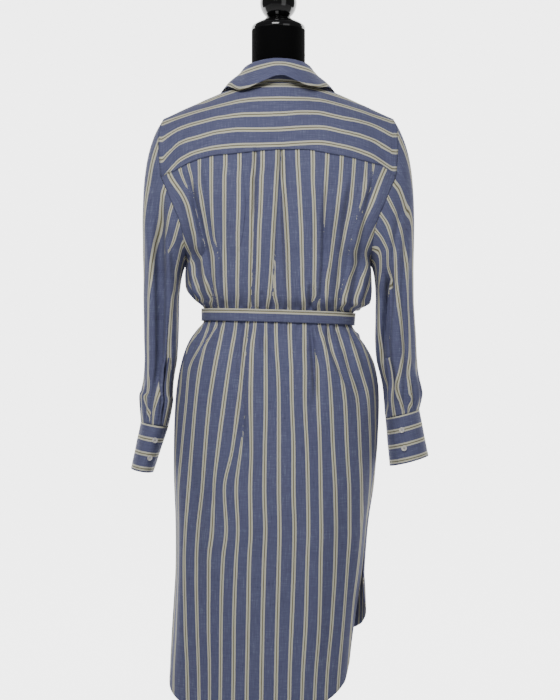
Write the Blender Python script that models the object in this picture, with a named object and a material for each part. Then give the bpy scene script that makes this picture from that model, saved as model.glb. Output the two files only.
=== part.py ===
"""Striped shirt dress on a limbless dress form, as real solids.

Metres, +Z up, origin under the middle of the form's round base.  The front of the dress faces -Y,
so the wearer's left is +X.  Every piece of cloth is a wall built about its middle surface.
"""
import math

import bpy
import bmesh
import numpy as np

# ---------------------------------------------------------------- driving dimensions
CLOTH = 0.0012            # thickness of one layer of cloth
SEAM_GAP = 0.0003         # space between two pieces that meet
LAYER = CLOTH + 0.0004    # how far out a piece lies when it is sewn on top of another
WAIST_Z = 1.0195          # middle of the belt
WAIST_TILT = 0.030        # the belt line climbs towards the wearer's left
ARMPIT_Z = 1.115
SLIT_TOP_Z = 0.560        # where the side seams end and the slits begin

PLEAT_FACE = 0.0218       # half the width of its raised face
PLEAT_DEPTH = 0.0190      # how far each side is folded under the face
PLEAT_LAYER = 0.0021      # from one folded layer to the next
PLEAT_EASE_TOP = 1.245    # pressed flat above this height, eased out at the waist

BELT_WIDTH = 0.0225
BELT_THICK = 0.0022
BAND_WIDTH = 0.030
BUTTON_R = 0.0052
BUTTON_THICK = 0.0024
FRONT_BUTTONS = 10
FIRST_BUTTON = 0.020      # from the band's top to the middle of its first button
BUTTON_STEP = 0.082

# ---------------------------------------------------------------- the body's sections
SECTION_COLUMNS = ("z", "left", "right", "back", "front", "front_right")
SECTIONS = (
    (1.3400, 0.2140, 0.2140, 0.1050, 0.0960, 0.2140),
    (1.2700, 0.2090, 0.2090, 0.1150, 0.1220, 0.2090),
    (1.2000, 0.1840, 0.1800, 0.1200, 0.1380, 0.1800),
    (1.1500, 0.1730, 0.1700, 0.1190, 0.1370, 0.1700),
    (1.1150, 0.1700, 0.1700, 0.1160, 0.1320, 0.1700),
    (1.0800, 0.1715, 0.1725, 0.1130, 0.1270, 0.1725),
    (1.0600, 0.1675, 0.1715, 0.1100, 0.1230, 0.1715),
    (1.0450, 0.1520, 0.1640, 0.1040, 0.1160, 0.1640),
    (1.0335, 0.1385, 0.1395, 0.0955, 0.1065, 0.1395),
    (1.0195, 0.1365, 0.1355, 0.0940, 0.1050, 0.1355),
    (1.0055, 0.1380, 0.1370, 0.0952, 0.1060, 0.1370),
    (0.9900, 0.1490, 0.1470, 0.1010, 0.1095, 0.1470),
    (0.9650, 0.1650, 0.1640, 0.1110, 0.1150, 0.1640),
    (0.9350, 0.1770, 0.1765, 0.1190, 0.1190, 0.1765),
    (0.9000, 0.1860, 0.1835, 0.1240, 0.1210, 0.1835),
    (0.8500, 0.1900, 0.1830, 0.1260, 0.1200, 0.1830),
    (0.7700, 0.1940, 0.1790, 0.1250, 0.1170, 0.1790),
    (0.7000, 0.1915, 0.1740, 0.1240, 0.1150, 0.1740),
    (0.6400, 0.1900, 0.1640, 0.1220, 0.1120, 0.1640),
    (0.5600, 0.1900, 0.1570, 0.1190, 0.1100, 0.1590),
    (0.4800, 0.1945, 0.1460, 0.1160, 0.1060, 0.1600),
    (0.4000, 0.1990, 0.1370, 0.1130, 0.1040, 0.1580),
    (0.2900, 0.2030, 0.1260, 0.1110, 0.1020, 0.1560),
)
SECTION_POWER = 2.25      # a little squarer than an ellipse

# how the cloth of the back lies round each section
CLOTH_COLUMNS = ("z", "half_left", "half_right", "middle", "turn")
BACK_CLOTH = (
    (1.3400, 0.243, 0.283, 0.018, 0.000),
    (1.2000, 0.232, 0.262, 0.022, 0.000),
    (1.1150, 0.258, 0.262, 0.024, 0.000),
    (1.0200, 0.262, 0.262, 0.028, 0.014),
    (0.9000, 0.262, 0.262, 0.036, 0.030),
    (0.5600, 0.262, 0.252, 0.037, 0.032),
    (0.2900, 0.258, 0.235, 0.045, 0.034),
)

# soft folds of the body: a line from top to bottom, in cloth metres from the pleat (+ is left)
BACK_FOLDS = (
    # c_top, z_top, c_bottom, z_bottom, width, depth
    (0.205, 1.265, 0.150, 1.045, 0.024, 0.0090),
    (0.165, 1.280, 0.110, 1.040, 0.020, 0.0060),
    (-0.225, 1.270, -0.150, 1.045, 0.026, 0.0090),
    (-0.175, 1.285, -0.118, 1.040, 0.020, 0.0060),
    (0.235, 1.160, 0.200, 1.040, 0.018, 0.0050),
    (0.060, 1.000, 0.045, 0.820, 0.016, 0.0060),
    (-0.112, 1.005, -0.105, 0.850, 0.011, 0.0080),
    (-0.150, 1.000, -0.215, 0.840, 0.016, 0.0060),
    (0.120, 0.995, 0.170, 0.900, 0.014, 0.0050),
    (0.130, 0.860, 0.120, 0.400, 0.030, 0.0040),
    (-0.060, 0.760, -0.070, 0.380, 0.034, 0.0035),
    (0.200, 0.800, 0.205, 0.330, 0.028, 0.0045),
    (-0.170, 0.740, -0.160, 0.340, 0.026, 0.0045),
)
FRONT_FOLDS = (
    # c_top, z_top, c_bottom, z_bottom, width, depth
    (0.170, 1.290, 0.110, 1.045, 0.026, 0.0080),
    (0.115, 1.190, 0.080, 1.040, 0.020, 0.0050),
    (0.215, 1.150, 0.185, 1.040, 0.020, 0.0050),
    (0.070, 1.000, 0.060, 0.780, 0.016, 0.0060),
    (0.135, 1.000, 0.165, 0.860, 0.016, 0.0060),
    (0.195, 0.880, 0.185, 0.500, 0.028, 0.0045),
    (0.110, 0.700, 0.105, 0.480, 0.030, 0.0035),
)
GATHERS = 15              # small gathers along the belt on each half of the body
GATHER_DEPTH = 0.0034
CALM_SHARE = 0.86         # folds die away from here to the side seam

# the lower edge of each panel: share of the way from its middle to its side edge, height
BACK_HEM = ((0.0, 0.300), (0.35, 0.305), (0.60, 0.321), (0.80, 0.341), (0.92, 0.356),
            (0.965, 0.366), (1.0, 0.390))
FRONT_HEM = ((0.0, 0.418), (0.35, 0.422), (0.60, 0.434), (0.80, 0.452), (0.92, 0.470),
             (0.965, 0.484), (1.0, 0.512))

# the armhole seam below the yoke, from the yoke's back corner down to the armpit and up the
# front: x, y, z on the wearer's left
ARMHOLE = (
    (0.2120, 0.0620, 1.2720),
    (0.1940, 0.0790, 1.2300),
    (0.1760, 0.0760, 1.1850),
    (0.1695, 0.0480, 1.1400),
    (0.1700, 0.0000, 1.1150),
    (0.1695, -0.0520, 1.1430),
    (0.1740, -0.0830, 1.1950),
    (0.1870, -0.0860, 1.2580),
    (0.2020, -0.0560, 1.3300),
)
ARMPIT_ROW = 4            # which of those points is the armpit

# the yoke over the shoulders
YOKE_BACK = {"middle": (0.1070, 1.3250), "end": (0.0620, 1.2720)}      # y, z of its lower back seam
YOKE_RIDGE = {"neck_x": 0.075, "neck_z": 1.4470, "tip_x": 0.2085, "tip_z": 1.3880}
YOKE_FRONT = {"neck": (-0.0600, 1.4020), "end": (-0.0560, 1.3300)}     # y, z of its front seam
YOKE_TIP_X = 0.2180       # how far the yoke reaches where the shoulder turns down
YOKE_FRONT_LEAN = 0.30    # how far the yoke's front leans forward as it comes down
NECK_RISE = 0.016         # how far the ridge climbs behind the neck
NECK_BACK = 0.034         # and how far back it goes there
RIDGE_SHARE = 0.58        # the ridge's place between the back seam (0) and the front seam (1)
# the neckline on the yoke: place along it from the spine, half width, share of the yoke's depth
YOKE_NECK = ((-0.22, -0.0340, 0.460), (0.0, 0.0, 0.445), (0.22, 0.0340, 0.460),
             (0.45, 0.0620, 0.510), (0.66, 0.0755, 0.610), (1.0, 0.0775, 1.0))

# sleeves below the armpit: middle, half width across, half depth front to back
SLEEVE_COLUMNS = ("z", "middle_x", "half_x", "middle_y", "half_y")
SLEEVE_LEFT = (
    (1.0500, 0.2160, 0.0325, -0.002, 0.0640),
    (0.9620, 0.2165, 0.0305, -0.006, 0.0620),
    (0.8940, 0.2225, 0.0270, -0.010, 0.0570),
    (0.8520, 0.2250, 0.0285, -0.012, 0.0510),
    (0.8240, 0.2290, 0.0262, -0.013, 0.0485),
)
SLEEVE_RIGHT = (
    (1.0500, 0.2150, 0.0345, -0.002, 0.0620),
    (0.9620, 0.2175, 0.0375, -0.006, 0.0600),
    (0.8940, 0.2265, 0.0325, -0.010, 0.0550),
    (0.8640, 0.2290, 0.0318, -0.012, 0.0480),
    (0.8420, 0.2302, 0.0310, -0.013, 0.0450),
)
CUFF_COLUMNS = ("top_z", "top_x", "top_hx", "top_hy", "end_z", "end_x", "end_hx", "end_hy", "tilt")
CUFF_LEFT = (0.8213, 0.2299, 0.0250, 0.0480, 0.7361, 0.2528, 0.0200, 0.0500, 0.19)
CUFF_RIGHT = (0.8406, 0.2304, 0.0310, 0.0440, 0.7533, 0.2428, 0.0355, 0.0420, 0.27)
CUFF_MIDDLE_Y = -0.013
SLEEVE_GATHERS = 11
SLEEVE_GATHER_DEPTH = 0.0024
CUFF_BLOUSE = 0.004       # how far the sleeve swells just above its cuff

# the neck: three lines round it, from the spine to the front end of the collar: x, y, z
NECK_SEAM_END = (0.0620, -0.0850, 1.3800)
STAND_TOP = ((0.0, 0.0640, 1.4860), (0.0440, 0.0490, 1.4840), (0.0700, 0.0050, 1.4740),
             (0.0700, -0.0420, 1.4450), (0.0590, -0.0880, 1.4060))
LEAF_ROLL = ((0.0, 0.0690, 1.4995), (0.0470, 0.0535, 1.4965), (0.0745, 0.0060, 1.4850),
             (0.0760, -0.0450, 1.4540), (0.0640, -0.0960, 1.4110))
LEAF_EDGE = ((0.0, 0.0900, 1.4660), (0.0660, 0.0620, 1.4500), (0.1050, 0.0080, 1.4385),
             (0.1140, -0.0560, 1.4130), (0.1120, -0.1160, 1.3460))
V_POINT_Z = 1.305         # where the fronts close

# ---------------------------------------------------------------- the dress form and its stand
TORSO_COLUMNS = ("z", "half_x", "back", "front")
TORSO = (
    (0.7400, 0.1450, 0.0850, 0.0780),
    (0.7430, 0.1540, 0.0930, 0.0860),
    (0.7700, 0.1610, 0.0990, 0.0910),
    (0.8500, 0.1660, 0.1030, 0.0950),
    (0.9100, 0.1600, 0.0990, 0.0940),
    (0.9700, 0.1400, 0.0880, 0.0910),
    (1.0200, 0.1240, 0.0810, 0.0900),
    (1.0700, 0.1290, 0.0850, 0.0970),
    (1.1300, 0.1430, 0.0930, 0.1100),
    (1.2000, 0.1550, 0.0980, 0.1150),
    (1.2700, 0.1640, 0.0950, 0.1020),
    (1.3200, 0.1700, 0.0840, 0.0800),
    (1.3600, 0.1720, 0.0680, 0.0590),
    (1.3850, 0.1700, 0.0560, 0.0470),
    (1.3980, 0.1650, 0.0500, 0.0430),
)
SHOULDER_STEPS = (1.4060, 1.4160, 1.4260)
NECK_BASE_ROWS = ((1.4360, 0.0700), (1.4430, 0.0520))     # height, half width
SHOULDER_DEPTH = 0.0490   # half depth of the form where the shoulders run up to the neck
SHOULDER_SEAT = 0.0025    # from the yoke's middle surface down to the form's shoulder
NECK_RADIUS = 0.0495
NECK_BASE_Z = 1.4430
NECK_TOP_Z = 1.5490
CAP_PROFILE = ((0.0495, 1.5493), (0.0500, 1.5530), (0.0480, 1.5580), (0.0400, 1.5640),
               (0.0300, 1.5685), (0.0240, 1.5720))
BALL_RADIUS = 0.0342
BALL_MIDDLE_Z = 1.6000
POLE_RADIUS = 0.0145
BASE_RADIUS = 0.170
BASE_THICK = 0.014

SMOOTH_ANGLE = math.radians(38)


# ---------------------------------------------------------------- small helpers
def remove_everything():
    for item in list(bpy.data.objects):
        bpy.data.objects.remove(item, do_unlink=True)


def column(table, names, wanted):
    return np.array([row[names.index(wanted)] for row in table])


def at_height(z, table, names, wanted):
    """Read one column of a table whose rows run downwards, with soft corners."""
    heights = column(table, names, "z")[::-1]
    values = column(table, names, wanted)[::-1]
    return pchip(heights, values, z)


def pchip(x, y, at):
    """A smooth curve through a table's points that never overshoots them."""
    x = np.asarray(x, float)
    y = np.asarray(y, float)
    at = np.clip(at, x[0], x[-1])
    step = np.diff(x)
    slope = np.diff(y) / step
    tangent = np.zeros_like(y)
    same = slope[:-1] * slope[1:] > 0
    total = step[:-1] + step[1:]
    safe = np.where(same, slope[:-1], 1.0)
    safe_next = np.where(same, slope[1:], 1.0)
    weight = (total + step[1:]) / safe + (total + step[:-1]) / safe_next
    tangent[1:-1] = np.where(same, 3.0 * total / weight, 0.0)
    tangent[0] = slope[0]
    tangent[-1] = slope[-1]
    place = np.clip(np.searchsorted(x, at, side="right") - 1, 0, len(x) - 2)
    width = step[place]
    t = (at - x[place]) / width
    return ((1 + 2 * t) * (1 - t) ** 2 * y[place] + t * (1 - t) ** 2 * width * tangent[place]
            + t * t * (3 - 2 * t) * y[place + 1] + t * t * (t - 1) * width * tangent[place + 1])


def smooth(value, low, high):
    t = np.clip((np.asarray(value, float) - low) / (high - low), 0.0, 1.0)
    return t * t * (3.0 - 2.0 * t)


def through(points, share):
    """A smooth curve through 3-D points, read at shares 0..1 of its length."""
    points = np.asarray(points, float)
    lengths = np.linalg.norm(np.diff(points, axis=0), axis=1)
    knots = np.concatenate(([0.0], np.cumsum(lengths)))
    fine = np.linspace(0.0, knots[-1], 161)
    curve = np.stack([catmull(knots, points[:, axis], fine) for axis in range(3)], axis=1)
    run = np.concatenate(([0.0], np.cumsum(np.linalg.norm(np.diff(curve, axis=0), axis=1))))
    wanted = np.asarray(share, float) * run[-1]
    return np.stack([np.interp(wanted, run, curve[:, axis]) for axis in range(3)], axis=-1)


def catmull(knots, values, at):
    tangent = np.gradient(values, knots)
    place = np.clip(np.searchsorted(knots, at, side="right") - 1, 0, len(knots) - 2)
    width = knots[place + 1] - knots[place]
    t = (at - knots[place]) / width
    return ((1 + 2 * t) * (1 - t) ** 2 * values[place] + t * (1 - t) ** 2 * width * tangent[place]
            + t * t * (3 - 2 * t) * values[place + 1] + t * t * (t - 1) * width * tangent[place + 1])


def grid_normals(grid, closed):
    """Unit normals of a grid of points, rows by columns."""
    along = np.gradient(grid, axis=0)
    if closed:
        across = (np.roll(grid, -1, axis=1) - np.roll(grid, 1, axis=1)) / 2.0
    else:
        across = np.gradient(grid, axis=1)
    normal = np.cross(along, across)
    return normal / np.maximum(np.linalg.norm(normal, axis=2, keepdims=True), 1e-12)


def wall(name, grid, normals, material, closed=False, thick=CLOTH):
    """A closed solid: a sheet's middle surface given thickness to both sides, with rims."""
    outer = grid + normals * thick / 2.0
    inner = grid - normals * thick / 2.0
    rows, cols = grid.shape[:2]
    points = np.concatenate([outer.reshape(-1, 3), inner.reshape(-1, 3)])
    shift = rows * cols

    def corner(row, col, side):
        return side * shift + row * cols + col % cols

    faces = []
    last = cols if closed else cols - 1
    for row in range(rows - 1):
        for col in range(last):
            after = (col + 1) % cols
            quad = [corner(row, col, 0), corner(row + 1, col, 0),
                    corner(row + 1, after, 0), corner(row, after, 0)]
            down = np.linalg.norm(grid[row, col] - grid[row + 1, after])
            up = np.linalg.norm(grid[row + 1, col] - grid[row, after])
            if down > up:
                quad = quad[1:] + quad[:1]
            for half in (quad[:3], quad[2:] + quad[:1]):      # both sides of the wall fold alike
                faces.append(half)
                faces.append([shift + index for index in reversed(half)])
    for col in range(last):
        faces.append([corner(0, col, 0), corner(0, col + 1, 0),
                      corner(0, col + 1, 1), corner(0, col, 1)])
        faces.append([corner(rows - 1, col + 1, 0), corner(rows - 1, col, 0),
                      corner(rows - 1, col, 1), corner(rows - 1, col + 1, 1)])
    if not closed:
        for row in range(rows - 1):
            faces.append([corner(row + 1, 0, 0), corner(row, 0, 0),
                          corner(row, 0, 1), corner(row + 1, 0, 1)])
            faces.append([corner(row, cols - 1, 0), corner(row + 1, cols - 1, 0),
                          corner(row + 1, cols - 1, 1), corner(row, cols - 1, 1)])
    return add_solid(name, points, faces, material)


def add_solid(name, points, faces, material):
    mesh = bpy.data.meshes.new(name)
    mesh.from_pydata([tuple(point) for point in points], [], faces)
    body = bmesh.new()
    body.from_mesh(mesh)
    bmesh.ops.recalc_face_normals(body, faces=body.faces)
    body.to_mesh(mesh)
    body.free()
    mesh.materials.append(material)
    mesh.shade_smooth()
    mesh.set_sharp_from_angle(angle=SMOOTH_ANGLE)
    solid = bpy.data.objects.new(name, mesh)
    bpy.context.scene.collection.objects.link(solid)
    return solid


def turned(name, profile, material, sides=26):
    """A solid turned about a vertical axis from (radius, height) pairs, bottom to top."""
    points = []
    faces = []
    for radius, height in profile:
        for step in range(sides):
            angle = 2.0 * math.pi * step / sides
            points.append((radius * math.cos(angle), radius * math.sin(angle), height))
    for ring in range(len(profile) - 1):
        for step in range(sides):
            after = (step + 1) % sides
            faces.append([ring * sides + step, ring * sides + after,
                          (ring + 1) * sides + after, (ring + 1) * sides + step])
    faces.append([step for step in range(sides)][::-1])
    faces.append([(len(profile) - 1) * sides + step for step in range(sides)])
    return add_solid(name, points, faces, material)


def make_material(name, colour, roughness, metallic=0.0):
    material = bpy.data.materials.new(name)
    material.use_nodes = True
    shader = material.node_tree.nodes["Principled BSDF"]
    shader.inputs["Base Color"].default_value = (*colour, 1.0)
    shader.inputs["Roughness"].default_value = roughness
    shader.inputs["Metallic"].default_value = metallic
    return material


# ---------------------------------------------------------------- the body of the dress
RING_STEPS = 360
RING_REACH = math.radians(215.0)


def section_ring(z, columns=("left", "right", "back", "front")):
    """Points round one level section, with their run along it; 0 is the spine, + is left."""
    left, right, back, front = (at_height(z, SECTIONS, SECTION_COLUMNS, name) for name in columns)
    angle = np.linspace(-RING_REACH, RING_REACH, RING_STEPS + 1)
    power = 2.0 / SECTION_POWER
    sine = np.sign(np.sin(angle)) * np.abs(np.sin(angle)) ** power
    cosine = np.sign(np.cos(angle)) * np.abs(np.cos(angle)) ** power
    x = np.where(sine > 0, left, right) * sine
    y = np.where(cosine > 0, back, front) * cosine
    run = np.concatenate(([0.0], np.cumsum(np.hypot(np.diff(x), np.diff(y)))))
    run -= run[RING_STEPS // 2]
    return angle, x, y, run


def ring_at(ring, run_wanted, out=0.0):
    """A point at a run along a section, moved outwards."""
    angle, x, y, run = ring
    step = 0.004
    px = np.interp(run_wanted, run, x)
    py = np.interp(run_wanted, run, y)
    tx = np.interp(run_wanted + step, run, x) - np.interp(run_wanted - step, run, x)
    ty = np.interp(run_wanted + step, run, y) - np.interp(run_wanted - step, run, y)
    length = np.hypot(tx, ty)
    return px - ty / length * out, py + tx / length * out


def ring_normal(ring, run_wanted):
    """The level outward direction at a run along a section."""
    near = np.array(ring_at(ring, run_wanted, 0.0))
    far = np.array(ring_at(ring, run_wanted, 1.0))
    return np.array([far[0] - near[0], far[1] - near[1], 0.0])


def run_at_angle(ring, degrees):
    return np.interp(math.radians(degrees), ring[0], ring[3])


def run_where(ring, side, y, low_degrees, high_degrees):
    """How far round one side of a section its depth is y, between two angles."""
    degrees = np.degrees(ring[0]) * side
    part = (degrees >= low_degrees) & (degrees <= high_degrees)
    order = np.argsort(ring[2][part])
    return float(np.interp(y, ring[2][part][order], np.abs(ring[3][part])[order]))


def tilt(points):
    """The whole waist climbs a little towards the wearer's left."""
    near = 1.0 - smooth(np.abs(points[..., 2] - WAIST_Z), 0.02, 0.16)
    points = points.copy()
    points[..., 2] += WAIST_TILT * points[..., 0] * near
    return points


def fold_depth(folds, cloth, z):
    """How far soft folds push the cloth in (-) and out (+) at a place on it."""
    out = np.zeros_like(cloth)
    for c_top, z_top, c_bottom, z_bottom, width, depth in folds:
        share = (z_top - z) / (z_top - z_bottom)
        middle = c_top + (c_bottom - c_top) * share
        along = smooth(share, 0.0, 0.30) * (1.0 - smooth(share, 0.72, 1.0))
        away = (cloth - middle) / width
        out += depth * along * (0.45 * np.exp(-(away - 1.5) ** 2) + 0.45 * np.exp(-(away + 1.5) ** 2)
                                - np.exp(-away ** 2))
    return out


def gather_depth(cloth, z, length):
    """Small gathers held by the belt, gone a hand's width above and below it."""
    above = smooth(z, WAIST_Z + 0.010, WAIST_Z + 0.030) * (1.0 - smooth(z, 1.055, 1.105))
    below = (1.0 - smooth(z, WAIST_Z - 0.035, WAIST_Z - 0.012)) * smooth(z, 0.900, 0.975)
    held = 0.25 * (1.0 - smooth(np.abs(z - WAIST_Z), 0.012, 0.030))
    turns = 2.0 * math.pi * GATHERS * cloth / length
    wave = np.sin(turns + 1.3 * np.sin(0.37 * turns))
    return GATHER_DEPTH * wave * np.maximum(np.maximum(above, below), held)


def armhole_at(z, back):
    """The armhole seam on the wearer's left at a height, behind or in front."""
    fine = through(ARMHOLE, np.linspace(0.0, 1.0, 161))
    lowest = int(np.argmin(fine[:, 2]))
    part = fine[:lowest + 1][::-1] if back else fine[lowest:]
    return np.array([np.interp(z, part[:, 2], part[:, 0]), np.interp(z, part[:, 2], part[:, 1]), z])


def seam_normal(point):
    """The outward direction shared by the two pieces that meet in the armhole seam."""
    side = math.copysign(1.0, point[0])
    out = 0.45 * float(smooth(point[2], 1.16, 1.38))
    normal = np.array([side * out, point[1] / 0.085, (point[2] - 1.245) / 0.135])
    return normal / np.linalg.norm(normal)


def slit_gap(z):
    """How far each panel's edge stands back from the side seam's line below the slit's top."""
    return 0.008 * float(smooth(SLIT_TOP_Z - z, 0.0, 0.16))


def hem_share(level, lowest):
    """How much of the hem's curve a level below the slit's top takes on."""
    return float(np.clip((SLIT_TOP_Z - level) / (SLIT_TOP_Z - lowest), 0.0, 1.0))


def back_seam_point(x):
    """The yoke's lower back seam."""
    share = abs(x) / ARMHOLE[0][0]
    y = YOKE_BACK["middle"][0] + (YOKE_BACK["end"][0] - YOKE_BACK["middle"][0]) * share ** 2.4
    z = YOKE_BACK["middle"][1] + (YOKE_BACK["end"][1] - YOKE_BACK["middle"][1]) * share ** 3.8
    return np.array([x, y, z])


def back_seam_normal(x):
    """The outward direction shared by the back and the yoke along their seam."""
    share = abs(x) / ARMHOLE[0][0]
    slope = (YOKE_BACK["middle"][0] - YOKE_BACK["end"][0]) * 2.4 * share ** 1.4 / ARMHOLE[0][0]
    normal = np.array([math.copysign(slope, x), 1.0, 0.0])
    return normal / np.linalg.norm(normal)


def front_seam_normal(side):
    """The outward direction shared by a front and the yoke along their seam."""
    along = front_seam_point(ARMHOLE[-1][0]) - front_seam_point(0.078)
    normal = np.cross((0.0, -YOKE_FRONT_LEAN, -1.0), along)
    normal *= np.array([side, 1.0, 1.0])
    return normal / np.linalg.norm(normal)


def pleat_path():
    """The folded box pleat: cloth run, place along the panel and height, from the middle out."""
    turn = PLEAT_LAYER / 2.0
    face, deep = PLEAT_FACE, PLEAT_DEPTH
    return (
        (0.0, 0.0, PLEAT_LAYER),
        (face - turn, face - turn, PLEAT_LAYER),
        (face, face, turn),
        (face + turn, face - turn, 0.0),
        (face + deep - turn, face - deep + turn, 0.0),
        (face + deep, face - deep, -turn),
        (face + deep + turn, face - deep + turn, -PLEAT_LAYER),
        (face + 2 * deep, face, -PLEAT_LAYER),
        (face + 2 * deep + 0.012, face + 0.012, -0.4 * PLEAT_LAYER),
    )


SHARED_ROWS = (ARMPIT_Z, 1.0880, 1.0650, 1.0480, 1.0335, 1.0195, 1.0055, 0.9900, 0.9680, 0.9350,
               0.8900, 0.8250, 0.7350, 0.6450, SLIT_TOP_Z)
BACK_ROWS = ((1.3250, 1.3000, 1.2680, 1.2360, 1.2040, 1.1740, 1.1440) + SHARED_ROWS
             + (0.4850, 0.4150, 0.3500, 0.3000))
BACK_SIDE_COLUMNS = 12


def back_columns(half_left, half_right):
    """Cloth runs of the panel's columns, and each one's place and height in the pressed pleat."""
    half = pleat_path()
    rows = [(-run, -place, high) for run, place, high in reversed(half[1:])] + list(half)
    inner = half[-1][0]
    left = [inner + (half_left - inner) * step / BACK_SIDE_COLUMNS
            for step in range(1, BACK_SIDE_COLUMNS + 1)]
    right = [-inner - (half_right - inner) * step / BACK_SIDE_COLUMNS
             for step in range(1, BACK_SIDE_COLUMNS + 1)]
    folded = 2.0 * PLEAT_DEPTH
    rows = [(run, run + folded, 0.0) for run in reversed(right)] + rows
    rows += [(run, run - folded, 0.0) for run in left]
    return np.array(rows)


def back_grid():
    rows = []
    edge_normals = {}
    for row, level in enumerate(BACK_ROWS):
        half_left = at_height(level, BACK_CLOTH, CLOTH_COLUMNS, "half_left")
        half_right = at_height(level, BACK_CLOTH, CLOTH_COLUMNS, "half_right")
        turn = at_height(level, BACK_CLOTH, CLOTH_COLUMNS, "turn")
        middle = at_height(level, BACK_CLOTH, CLOTH_COLUMNS, "middle")
        cloth, pressed, high = back_columns(half_left, half_right).T
        eased = 1.0 - float(smooth(level, WAIST_Z + 0.01, PLEAT_EASE_TOP))
        share = np.where(cloth > 0, cloth / half_left, cloth / half_right)
        rise = -(YOKE_BACK["middle"][1] - YOKE_BACK["end"][1]) * smooth(level, ARMPIT_Z, 1.325)
        drop = hem_share(level, BACK_ROWS[-1])
        hem = np.interp(np.abs(share), *np.array(BACK_HEM).T) - BACK_HEM[0][1]
        points = []
        rings = {}
        for index in range(len(cloth)):
            z = level + rise * abs(share[index]) ** 3.8 + drop * hem[index]
            key = round(float(z), 5)
            if key not in rings:
                rings[key] = section_ring(z)
            ring = rings[key]
            side = 1.0 if cloth[index] > 0 else -1.0
            end = run_at_angle(ring, 90.0 * side)
            if level > ARMPIT_Z + 1e-6:
                target = armhole_at(level + rise, True)
                end = side * run_where(ring, side, target[1], 0.0, 90.0)
            else:
                end = end + turn - side * (SEAM_GAP / 2.0 + slit_gap(z))
                if index in (0, len(cloth) - 1):
                    edge_normals[(row, index)] = ring_normal(ring, end)
            half = half_left if side > 0 else half_right
            flat_place = middle + (end - middle) * abs(cloth[index]) / half
            seam_place = middle + pressed[index]
            reach = half - 2.0 * PLEAT_DEPTH
            seam_place = middle + (end - middle) * abs(pressed[index]) / reach if \
                abs(cloth[index]) > pleat_path()[-1][0] else seam_place
            place = seam_place + (flat_place - seam_place) * eased
            puff = 1.0 + 1.4 * math.sin(math.pi * min(eased, 1.0))
            loose = 1.0 - float(smooth(abs(share[index]), CALM_SHARE, 1.0))
            soft = fold_depth(BACK_FOLDS, cloth[index:index + 1], z)[0]
            soft += gather_depth(cloth[index:index + 1], z, half_left + half_right)[0]
            out = high[index] * (1.0 - eased) * puff + soft * loose
            x, y = ring_at(ring, place, out)
            points.append((x, y, z))
        rows.append(points)
    grid = np.array(rows)
    share = back_share()
    top_x = grid[0, :, 0].copy()
    for side, end in ((1.0, top_x[-1]), (-1.0, top_x[0])):
        part = top_x * side > 0.0
        top_x[part] *= side * ARMHOLE[0][0] / end
    target = np.array([back_seam_point(x) for x in top_x])
    high = back_columns(*(at_height(BACK_ROWS[0], BACK_CLOTH, CLOTH_COLUMNS, name)
                          for name in ("half_left", "half_right")))[:, 2]
    target[:, 1] += high
    target[:, 2] -= SEAM_GAP
    shift = target - grid[0]
    for row, level in enumerate(BACK_ROWS):
        grid[row] += shift * float(smooth(level, 1.18, BACK_ROWS[0]))
    for col in range(grid.shape[1]):
        if abs(high[col]) < 0.3 * PLEAT_LAYER:
            edge_normals[(0, col)] = back_seam_normal(grid[0, col, 0])
    for row, level in enumerate(BACK_ROWS):
        if level < ARMPIT_Z - 1e-6:
            break
        for col, side in ((-1, 1.0), (0, -1.0)):
            goal = armhole_at(grid[row, col, 2], True) if row else np.array(ARMHOLE[0])
            goal = goal * np.array([side, 1.0, 1.0])
            if row == 0:
                goal[2] -= SEAM_GAP
            if level < ARMPIT_Z + 1e-6:
                goal[1] += SEAM_GAP / 2.0
            miss = goal - grid[row, col]
            near = np.clip(share * side, 0.0, 1.0) ** 3
            grid[row] += near[:, None] * miss
            edge_normals[(row, col % grid.shape[1])] = seam_normal(goal)
    return tilt(grid), edge_normals


def back_share():
    cloth = back_columns(0.25, 0.25)[:, 0]
    return cloth / 0.25


def outward(grid, edge_normals=None, inside=(0.0, 0.0)):
    """A grid's normals, turned away from a vertical line inside the piece."""
    normals = grid_normals(grid, False)
    away = grid[..., :2] - np.asarray(inside)
    if np.sum(away * normals[..., :2]) < 0.0:
        normals = -normals
    for place, normal in (edge_normals or {}).items():
        normals[place] = normal
    return normals


def make_back(material):
    grid, edges = back_grid()
    wall("back", grid, outward(grid, edge_normals=edges), material)
    return grid


# ---------------------------------------------------------------- the two fronts
FRONT_ROWS = ((1.3050, 1.2920, 1.2700, 1.2400, 1.2100, 1.1800, 1.1480) + SHARED_ROWS
              + (0.5150, 0.4650, 0.4180))
FRONT_SHARES = (0.0, 0.085, 0.16, 0.235, 0.31, 0.386, 0.46, 0.54, 0.62, 0.70, 0.77, 0.84,
                0.90, 0.955, 1.0)
UNDERLAP = 0.0130         # the left front runs this far past the middle, under the band
BAND_EDGE = 0.0153        # the right front stops here, where the band begins
FRONT_COLUMNS = ("left", "front_right", "back", "front")


def front_top(share, edge):
    """The top line of a front on the left: V edge, neckline, then the yoke's front seam."""
    collar_end = np.array(NECK_SEAM_END)
    neck_y, neck_z = YOKE_FRONT["neck"]
    end_y, end_z = YOKE_FRONT["end"]
    stops = (0.0, 0.31, 0.386, 1.0)
    places = (np.array([edge, -0.1190, V_POINT_Z]), collar_end,
              np.array([0.0780, neck_y, neck_z]), np.array([ARMHOLE[-1][0], end_y, end_z]))
    return np.array([np.interp(share, stops, [place[axis] for place in places])
                     for axis in range(3)])


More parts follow.
